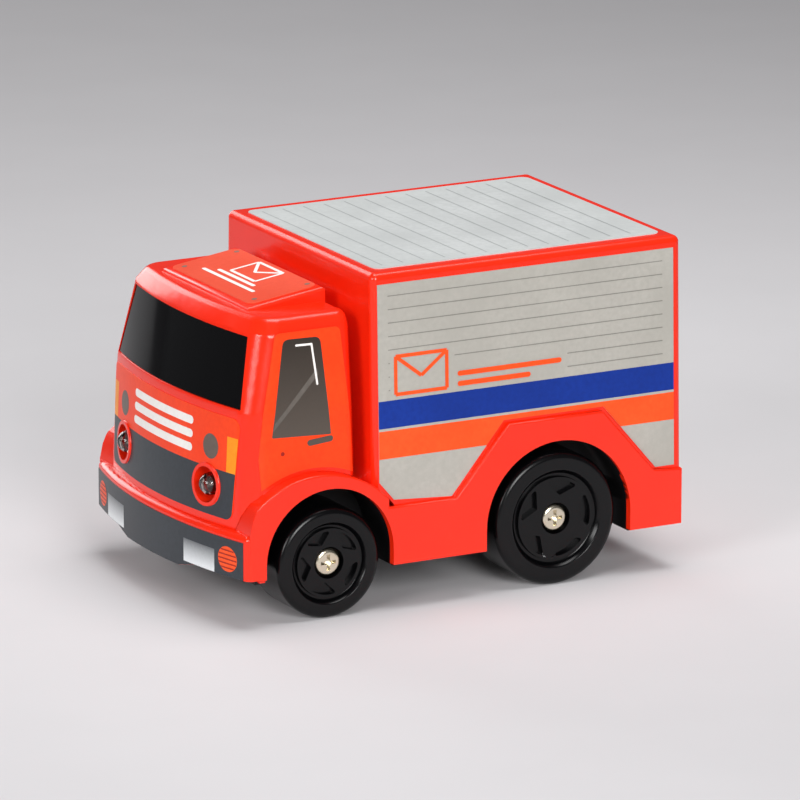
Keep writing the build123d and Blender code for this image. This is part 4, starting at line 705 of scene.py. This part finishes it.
@dataclass
class BoxLabels:
    """Printed film on the cargo box: two sides, roof and rear doors."""

    front_x: float = 18.3
    rear_x: float = -53.5
    past_edge: float = 3.0
    blue: Point = (39.55, 45.5)
    orange: Point = (33.0, 39.0)
    line_heights: tuple[float, ...] = (68.0, 65.1, 62.2, 59.3, 56.4, 53.5, 50.6, 47.7)
    line_start: float = 16.0
    line_end: float = -50.3
    line_half: float = 0.11
    icon_x: float = 8.2
    icon_z: float = 50.75
    icon_half: Point = (6.1, 4.1)
    icon_line: float = 0.8
    clear_above_icon: float = 5.5
    clear_behind_icon: float = 8.0
    clear_ahead_icon: float = 7.4
    bar_start: float = -1.0
    bar_end: float = -25.0
    bar_heights: Point = (49.4, 47.2)
    bar_width: float = 1.1
    short_bar_share: float = 0.7
    clear_behind_bar: float = 2.0
    beside_bar_below: float = 51.5
    roof_lines: int = 13
    roof_first_x: float = 14.0
    roof_pitch: float = 5.0
    roof_line_half: float = 0.12
    roof_reach: float = 27.5
    door_seam: Stroke = (-0.35, 30.0, 0.35, 69.5)
    panel_heights: Point = (36.0, 60.0)
    panel_reach: Point = (1.5, 26.0)
    panel_line_half: float = 0.15
    handle: Stroke = (3.2, 44.0, 3.2, 54.0)
    handle_width: float = 1.2
    rear_stripe: Stroke = (-29.0, 26.0, 29.0, 30.0)

    def fine_lines(self) -> list[Shape]:
        """Level lines across a side, which stop short of the envelope and its bars.

        Returns:
            Their outlines.
        """
        lines = []
        for z in self.line_heights:
            low, high = z - self.line_half, z + self.line_half
            start = self.line_start
            if z < self.icon_z + self.clear_above_icon:
                if z < self.beside_bar_below:
                    start = self.bar_end - self.clear_behind_bar
                else:
                    start = self.icon_x - self.clear_behind_icon
            lines.append(quad(self.line_end, low, start, high))
            if start != self.line_start:
                lines.append(quad(self.icon_x + self.clear_ahead_icon, low, self.line_start, high))
        return lines

    def side(self, word: str, view: View) -> None:
        """Prints one side.

        Args:
            word: "left" or "right".
            view: which way that side faces.
        """
        node = f"box_label_{word}"
        dress(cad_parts[node], Finish.LABEL_GREY)
        stripes = ((Finish.INK_BLUE, self.blue, "blue"), (Finish.INK_ORANGE, self.orange, "orange"))
        for finish, (low, high), colour in stripes:
            shape = quad(self.rear_x - self.past_edge, low, self.front_x + self.past_edge, high)
            Print(f"side_{colour}_stripe_{word}", node, view, finish, [shape]).build()
        Print(f"side_fine_lines_{word}", node, view, Finish.INK_LINE, self.fine_lines()).build()
        icon = envelope(self.icon_x, self.icon_z, *self.icon_half, self.icon_line)
        Print(f"side_envelope_{word}", node, view, Finish.INK_ORANGE, icon, LIFT_OVER_ALL).build()
        long_z, short_z = self.bar_heights
        short_end = self.bar_end * self.short_bar_share
        bars = [pill(self.bar_start, long_z, self.bar_end, long_z, self.bar_width),
                pill(self.bar_start, short_z, short_end, short_z, self.bar_width)]
        Print(f"side_address_bars_{word}", node, view, Finish.INK_ORANGE, bars, LIFT_OVER_ALL).build()

    def roof(self) -> None:
        """Prints faint lines across the roof."""
        node = "box_label_roof"
        dress(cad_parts[node], Finish.LABEL_ROOF)
        lines = []
        for k in range(self.roof_lines):
            x = self.roof_first_x - self.roof_pitch * k
            lines.append(quad(x - self.roof_line_half, -self.roof_reach,
                              x + self.roof_line_half, self.roof_reach))
        Print("roof_fine_lines", node, View.TOP, Finish.INK_FAINT, lines).build()

    def rear(self) -> None:
        """Prints the two plain doors on the back."""
        node = "box_label_rear"
        dress(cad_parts[node], Finish.LABEL_GREY)
        lines = [quad(*self.door_seam)]
        inner, outer = self.panel_reach
        for z in self.panel_heights:
            lines += mirrored([quad(inner, z - self.panel_line_half, outer, z + self.panel_line_half)])
        Print("rear_door_lines", node, View.REAR, Finish.INK_LINE, lines).build()
        bars = mirrored([pill(*self.handle, self.handle_width)])
        Print("rear_door_handles", node, View.REAR, Finish.LABEL_DARK, bars, LIFT_ON_INK).build()
        stripe = quad(*self.rear_stripe)
        Print("rear_orange_stripe", node, View.REAR, Finish.INK_ORANGE, [stripe]).build()

    def build(self) -> None:
        """Prints every face of the box."""
        self.side("left", View.LEFT)
        self.side("right", View.RIGHT)
        self.roof()
        self.rear()


@dataclass
class CabLabels:
    """Printed film on the cab: nose, bumper, doors and roof."""

    dark_band: Stroke = (-32.0, 15.0, 32.0, 32.3)
    bar_heights: Triple = (40.9, 38.0, 35.1)
    bar_half: float = 12.8
    bar_width: float = 1.75
    side_lamp: Stroke = (20.2, 36.8, 2.6, 2.7)
    amber: Stroke = (25.6, 32.3, 32.0, 40.0)
    silver_lamp: Stroke = (14.25, 10.9, 25.25, 15.9)
    round_lamp: Point = (29.5, 14.6)
    round_half: Point = (3.0, 2.75)
    hatch_each_way: int = 2
    hatch_pitch: float = 0.95
    hatch_reach: float = 2.65
    hatch_half: float = 0.13
    glass: tuple[Point, ...] = ((39.0, 60.6), (42.6, 40.2), (28.7, 39.5), (30.3, 60.4))
    glass_radii: Stroke = (1.6, 0.3, 0.3, 1.6)
    streak: tuple[Point, ...] = ((41.8, 43.2), (42.3, 41.5), (31.2, 52.4), (31.4, 53.8))
    glare: tuple[Stroke, ...] = ((36.0, 59.1, 32.4, 59.0), (32.4, 59.0, 31.5, 50.5))
    glare_width: float = 0.45
    glare_lift: float = 0.04
    handle: Stroke = (33.7, 38.2, 28.9, 38.6)
    handle_width: float = 1.3
    dot: Stroke = (40.2, 36.6, 0.45, 0.45)
    dot_steps: int = 12
    rivet_radius: float = 0.6
    rivet_steps: int = 14
    rivet_y: float = 16.3
    rivet_x: Point = (38.4, 25.9)
    cap_icon_x: float = 29.4
    cap_icon_half: Point = (5.6, 3.4)
    cap_icon_line: float = 0.75
    cap_bars: tuple[Triple, ...] = ((36.2, 11.5, 0.9), (34.3, 8.0, 0.9))

    def nose(self) -> None:
        """Prints the grille bars, the dark lower band and the small side lamps."""
        node = "grille_label"
        dress(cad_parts[node], Finish.LABEL_ORANGE)
        band = quad(*self.dark_band)
        Print("nose_dark_band", node, View.FRONT, Finish.LABEL_DARK, [band]).build()
        bars = [pill(-self.bar_half, z, self.bar_half, z, self.bar_width) for z in self.bar_heights]
        Print("grille_bars", node, View.FRONT, Finish.INK_WHITE, bars).build()
        lamps = mirrored([disc(*self.side_lamp)])
        Print("nose_side_lamps", node, View.FRONT, Finish.INK_LAMP, lamps).build()
        corners = mirrored([quad(*self.amber)])
        Print("nose_amber_corners", node, View.FRONT, Finish.INK_AMBER, corners).build()

    def bumper(self) -> None:
        """Prints the bumper's lamps."""
        node = "bumper_label"
        dress(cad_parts[node], Finish.LABEL_DARK)
        lamps = mirrored([quad(*self.silver_lamp)])
        Print("bumper_silver_lamps", node, View.FRONT, Finish.FADE_SILVER, lamps).build()
        u, v = self.round_lamp
        wide, tall = self.round_half
        rounds = mirrored([disc(u, v, wide, tall)])
        Print("bumper_round_lamps", node, View.FRONT, Finish.INK_ORANGE, rounds).build()
        hatch = []
        for k in range(-self.hatch_each_way, self.hatch_each_way + 1):
            z = v + self.hatch_pitch * k
            half = wide / tall * math.sqrt(self.hatch_reach ** 2 - (z - v) ** 2)
            hatch.append(quad(u - half, z - self.hatch_half, u + half, z + self.hatch_half))
        strokes = mirrored(hatch)
        Print("bumper_lamp_hatching", node, View.FRONT, Finish.INK_DOT, strokes, LIFT_OVER_ALL).build()

    def door(self, word: str, view: View) -> None:
        """Prints one door's window, glare, handle and fuel-cap dot.

        Args:
            word: "left" or "right".
            view: which way that door faces.
        """
        node = f"door_label_{word}"
        dress(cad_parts[node], Finish.LABEL_ORANGE)
        glass = rounded(list(self.glass), list(self.glass_radii))
        Print(f"door_glass_{word}", node, view, Finish.INK_GLASS, [glass]).build()
        streak = list(self.streak)
        Print(f"door_glass_streak_{word}", node, view, Finish.INK_GLARE, [streak], LIFT_ON_INK).build()
        glare = [pill(*stroke, self.glare_width) for stroke in self.glare]
        Print(f"door_glass_glare_{word}", node, view, Finish.INK_WHITE, glare, self.glare_lift).build()
        handle = pill(*self.handle, self.handle_width)
        Print(f"door_handle_{word}", node, view, Finish.INK_GLASS, [handle], LIFT_ON_INK).build()
        dot = disc(*self.dot, self.dot_steps)
        Print(f"door_dot_{word}", node, view, Finish.INK_DOT, [dot], LIFT_ON_INK).build()

    def cap(self) -> None:
        """Prints the cab roof's rivets, envelope and bars."""
        node = "cab_roof_label"
        # The roof label's salmon colour holds a painted highlight of the overhead light.
        dress(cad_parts[node], Finish.LABEL_CAP_PAINTED_HIGHLIGHT)
        rivet = disc(0.0, 0.0, self.rivet_radius, self.rivet_radius, self.rivet_steps)
        spots = [[(x + u, side * self.rivet_y + v) for u, v in rivet]
                 for x in self.rivet_x for side in (-1, 1)]
        Print("cap_rivets", node, View.TOP, Finish.INK_RIVET, spots).build()
        upright = envelope(0.0, 0.0, *self.cap_icon_half, self.cap_icon_line)
        icon = [[(self.cap_icon_x - v, u) for u, v in stroke] for stroke in upright]
        Print("cap_envelope", node, View.TOP, Finish.INK_WHITE, icon, LIFT_ON_INK).build()
        bars = [pill(x, -half, x, half, width) for x, half, width in self.cap_bars]
        Print("cap_address_bar", node, View.TOP, Finish.INK_WHITE, bars, LIFT_ON_INK).build()

    def build(self) -> None:
        """Prints every face of the cab."""
        self.nose()
        self.bumper()
        self.door("left", View.LEFT)
        self.door("right", View.RIGHT)
        self.cap()


# ---- moulded and metal parts ---------------------------------------------
@dataclass
class Shell:
    """Red body mouldings, tinted windscreen and black base."""

    polished: dict[str, Finish] = field(default_factory=lambda: {
        "cargo_box": Finish.BODY, "lower_body": Finish.BODY, "cab_shell": Finish.BODY,
        "windscreen": Finish.SCREEN, "base_plate": Finish.CHASSIS})

    def build(self) -> None:
        """Dresses the mouldings."""
        for node, finish in self.polished.items():
            polish(node, finish, "body")
        polish("battery_door", Finish.CHASSIS, "battery_cover")
        polish("battery_door_screw", Finish.SCREW, "battery_cover")
        polish("base_screws", Finish.SCREW, "body")
        polish("switch_knob", Finish.KNOB, "switch_slider")


@dataclass
class Windscreen:
    """Polished outer face of the windscreen: bowed from side to side and leaning back."""

    low_z: float = 46.2
    high_z: float = 61.0
    low_half: float = 28.65
    high_half: float = 26.3
    sill: Triple = (45.4, 51.9, 122.0)  # height, reach forward and bow radius
    head: Triple = (62.0, 47.4, 144.0)
    recess: float = 0.35
    lift: float = 0.03
    columns: int = 72
    rows: int = 20

    def build(self) -> None:
        """Shapes one sheet to the pane's own curve."""
        bm = bmesh.new()
        bmesh.ops.create_grid(bm, x_segments=self.columns, y_segments=self.rows, size=1.0)
        for vert in bm.verts:
            up = (vert.co.y + 1) / 2
            y = vert.co.x * (self.low_half + (self.high_half - self.low_half) * up)
            vert.co = self.point(y, self.low_z + (self.high_z - self.low_z) * up)
        bmesh.ops.recalc_face_normals(bm, faces=bm.faces)
        if sum(face.normal.x for face in bm.faces) < 0:
            bmesh.ops.reverse_faces(bm, faces=bm.faces)
        new_piece("windscreen_face", bm, Finish.SCREEN, "body")

    def point(self, y: float, z: float) -> Vector:
        """Place on the pane's outer face.

        Args:
            y: across the truck, in millimetres.
            z: height, in millimetres.

        Returns:
            The place, in metres.
        """
        t = (z - self.sill[0]) / (self.head[0] - self.sill[0])
        nose = self.sill[1] + (self.head[1] - self.sill[1]) * t - self.recess + self.lift
        bow = 1 / ((1 - t) / self.sill[2] + t / self.head[2])
        return Vector((nose - bow + math.sqrt(bow * bow - y * y), y, z)) * MM


@dataclass
class RunningGear:
    """Wheels, axles and their screws."""

    sets: tuple[str, ...] = ("rear", "front")

    def build(self) -> None:
        """Dresses both axle sets."""
        for end in self.sets:
            body = f"{end}_axle_set"
            polish(f"{end}_wheel_left", Finish.WHEEL, body)
            polish(f"{end}_wheel_right", Finish.WHEEL, body)
            polish(f"{end}_wheel_screws", Finish.WHEEL_SCREW, body)
            polish(f"{end}_axle", Finish.AXLE, body)


@dataclass
class Headlamp:
    """Round 5 mm lamp: clear lens with a silvered cup and two legs inside."""

    side: int
    radius: float = 2.45
    length: float = 5.87
    rim_thick: float = 1.0
    rim_edge: float = 0.98
    cup: tuple[Point, ...] = ((-3.2, 0.0), (-3.2, 0.35), (-2.5, 0.95), (-2.5, 1.1), (-3.9, 1.1), (-3.9, 0.0))
    leg_shift: float = 1.27
    leg_length: float = 2.8
    leg_thick: float = 0.48
    leg_edge: float = 0.06
    dome_steps: int = 12
    steps: int = 48

    def build(self) -> None:
        """Makes the lens, the cup and the legs where the plain lamp stands."""
        word = "left" if self.side > 0 else "right"
        node = f"headlamp_led_{word}"
        low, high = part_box(node)
        axis_y, axis_z = (low.y + high.y) / 2, (low.z + high.z) / 2
        spot = Vector((high.x, axis_y, axis_z))
        lens = self.spin(self.dome((high.y - low.y) / 2), spot)
        piece = new_piece(f"headlamp_lens_{word}", lens, Finish.LENS, "body")
        crisp_above(piece, 40.0)
        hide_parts(node)
        cup = [(x * MM, radius * MM) for x, radius in self.cup]
        # The cup's darkened silver is painted shade of the lamp's bore.
        inner = new_piece(f"headlamp_cup_{word}", self.spin(cup, spot), Finish.REFLECTOR, "body")
        crisp_above(inner, 30.0)
        legs = bmesh.new()
        for shift in (-self.leg_shift, self.leg_shift):
            middle = low.x + self.leg_length / 2 * MM
            place = Matrix.Translation((middle, axis_y + shift * MM, axis_z))
            thick = self.leg_thick * MM
            size = Matrix.Diagonal((self.leg_length * MM, thick, thick, 1.0))
            bmesh.ops.create_cube(legs, size=1.0, matrix=place @ size)
        bmesh.ops.bevel(legs, geom=legs.edges[:], offset=self.leg_edge * MM, offset_type="OFFSET",
                        segments=2, profile=0.5, affect="EDGES", material=-1)
        new_piece(f"headlamp_legs_{word}", legs, Finish.TIN, "body", smooth=False)

    def dome(self, rim: float) -> list[Point]:
        """Half outline of the lens: round nose, straight wall and a rim at the back.

        Args:
            rim: radius of the rim, in metres.

        Returns:
            Points of (along X from the nose, radius), in metres.
        """
        wall = self.radius * MM
        points = []
        for k in range(self.dome_steps + 1):
            turn = math.pi / 2 * k / self.dome_steps
            points.append((-wall * (1 - math.cos(turn)), wall * math.sin(turn)))
        base = -self.length * MM
        front, edge = base + self.rim_thick * MM, base + self.rim_edge * MM
        return points + [(front, wall), (edge, rim), (base, rim), (base, 0.0)]

    def spin(self, profile: list[Point], spot: Vector) -> bmesh.types.BMesh:
        """Spins a profile of (along X, radius) about the X axis through a spot.

        Args:
            profile: points from the front of the lamp backwards, in metres.
            spot: where the profile's zero sits.

        Returns:
            The closed shape.
        """
        bm = bmesh.new()
        verts = [bm.verts.new(spot + Vector((x, radius, 0.0))) for x, radius in profile]
        edges = [bm.edges.new(pair) for pair in zip(verts, verts[1:])]
        bmesh.ops.spin(bm, geom=verts + edges, cent=spot, axis=(1, 0, 0), angle=2 * math.pi,
                       steps=self.steps, use_merge=True)
        bmesh.ops.remove_doubles(bm, verts=bm.verts, dist=1e-7)
        bmesh.ops.recalc_face_normals(bm, faces=bm.faces)
        return bm


@dataclass
class Inside:
    """Parts that the mouldings hide: cells, boards, motor, gears and leads."""

    finishes: dict[str, Finish] = field(default_factory=lambda: {
        "battery_left": Finish.CELL, "battery_right": Finish.CELL, "battery_contacts": Finish.TIN,
        "battery_springs": Finish.TIN, "main_board": Finish.BOARD, "board_chip": Finish.CHIP,
        "board_capacitor": Finish.CAN, "lamp_board": Finish.BOARD, "lamp_leads": Finish.WIRE,
        "motor_leads": Finish.WIRE, "switch_leads": Finish.WIRE, "switch_body": Finish.TIN,
        "motor_housing": Finish.CAN_STEEL, "motor_end_cap": Finish.GEAR, "motor_magnets": Finish.MAGNET,
        "motor_rotor": Finish.AXLE, "motor_pinion": Finish.GEAR, "first_compound_gear": Finish.GEAR,
        "second_compound_gear": Finish.GEAR, "axle_gear": Finish.GEAR, "gear_pins": Finish.SCREW,
        "gear_case_inner": Finish.GEAR, "gear_case_cover": Finish.GEAR})

    def build(self) -> None:
        """Dresses each hidden node."""
        for node, finish in self.finishes.items():
            dress(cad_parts[node], finish)
            LOG.info("%s dressed", node)


# ---- studio --------------------------------------------------------------
@dataclass
class Softbox:
    """Large soft light aimed at the truck, with its place and size in metres."""

    name: str
    place: Triple
    width: float
    height: float
    power: float
    target: Triple = (0.0, 0.0, 0.035)
    colour: str = "#FFFFFF"
    spread_deg: float = 180.0

    def build(self) -> None:
        """Adds the light."""
        lamp = bpy.data.lights.new(self.name, "AREA")
        lamp.shape = "RECTANGLE"
        lamp.size, lamp.size_y = self.width, self.height
        lamp.energy = self.power
        lamp.spread = math.radians(self.spread_deg)
        lamp.color = linear(self.colour)[:3]
        aim(bpy.data.objects.new(self.name, lamp), self.place, self.target)


@dataclass
class Studio:
    """Plain pale floor, soft lights and the camera, with places in metres."""

    target: Triple = (-0.00499, 0.0, 0.03514)
    camera_place: Triple = (0.7795, 1.4667, 0.4731)
    lens_mm: float = 360.0
    sensor_mm: float = 36.0
    clip: Point = (0.05, 30.0)
    floor_half: float = 6.0
    fibre_mm: float = 30.0
    surroundings: str = "#E6E6EA"
    surroundings_power: float = 0.12
    softboxes: tuple[Softbox, ...] = (
        Softbox("overhead softbox", (-0.1, 0.05, 0.75), 0.45, 0.45, 1.05, spread_deg=90.0),
        Softbox("left softbox", (0.25, 1.7, 0.75), 0.8, 0.7, 2.2, spread_deg=50.0),
        Softbox("front softbox", (1.6, 0.7, 0.7), 0.8, 0.7, 1.5, spread_deg=50.0),
        Softbox("right rim softbox", (0.15, -1.6, 0.55), 0.9, 1.0, 2.8, spread_deg=90.0),
    )

    def floor(self) -> None:
        """Lays a wide pale floor."""
        bm = bmesh.new()
        bmesh.ops.create_grid(bm, x_segments=2, y_segments=2, size=self.floor_half)
        mesh = bpy.data.meshes.new("studio_floor")
        bm.to_mesh(mesh)
        bm.free()
        sheet = bpy.data.objects.new("studio_floor", mesh)
        bpy.context.scene.collection.objects.link(sheet)
        material, tree, place = empty_material("pale matt paper")
        fibre = add_node(tree, "ShaderNodeTexNoise", {"Scale": waves(self.fibre_mm), "Detail": 2.0},
                         {"Vector": place})
        tint = add_node(tree, "ShaderNodeMix", {6: linear("#D3D1D3"), 7: linear("#D7D5D7")},
                        {0: fibre.outputs["Fac"]}, data_type="RGBA")
        shader = add_node(tree, "ShaderNodeBsdfPrincipled", {"Roughness": 0.9, "Specular IOR Level": 0.2},
                          {"Base Color": tint.outputs[2]})
        add_node(tree, "ShaderNodeOutputMaterial", None, {"Surface": shader.outputs[0]})
        mesh.materials.append(material)

    def camera(self) -> None:
        """Adds the camera."""
        view = bpy.data.cameras.new("studio camera")
        view.lens = self.lens_mm
        view.sensor_width = self.sensor_mm
        view.clip_start, view.clip_end = self.clip
        holder = bpy.data.objects.new("studio camera", view)
        aim(holder, self.camera_place, self.target)
        bpy.context.scene.camera = holder

    def build(self) -> None:
        """Sets up the camera, floor, lights and surroundings."""
        self.camera()
        self.floor()
        for softbox in self.softboxes:
            softbox.build()
        world = bpy.data.worlds.new("soft surroundings")
        world.use_nodes = True
        sky = world.node_tree.nodes["Background"]
        sky.inputs[0].default_value = linear(self.surroundings)
        sky.inputs[1].default_value = self.surroundings_power
        bpy.context.scene.world = world
        bpy.context.scene.view_settings.view_transform = "Standard"


def main() -> None:
    """Builds the studio and every sub-assembly."""
    logging.basicConfig(level=logging.INFO, format="%(name)s: %(message)s")
    Studio().build()
    Shell().build()
    Windscreen().build()
    BoxLabels().build()
    CabLabels().build()
    RunningGear().build()
    Headlamp(1).build()
    Headlamp(-1).build()
    Inside().build()


if __name__ == "__main__":
    main()
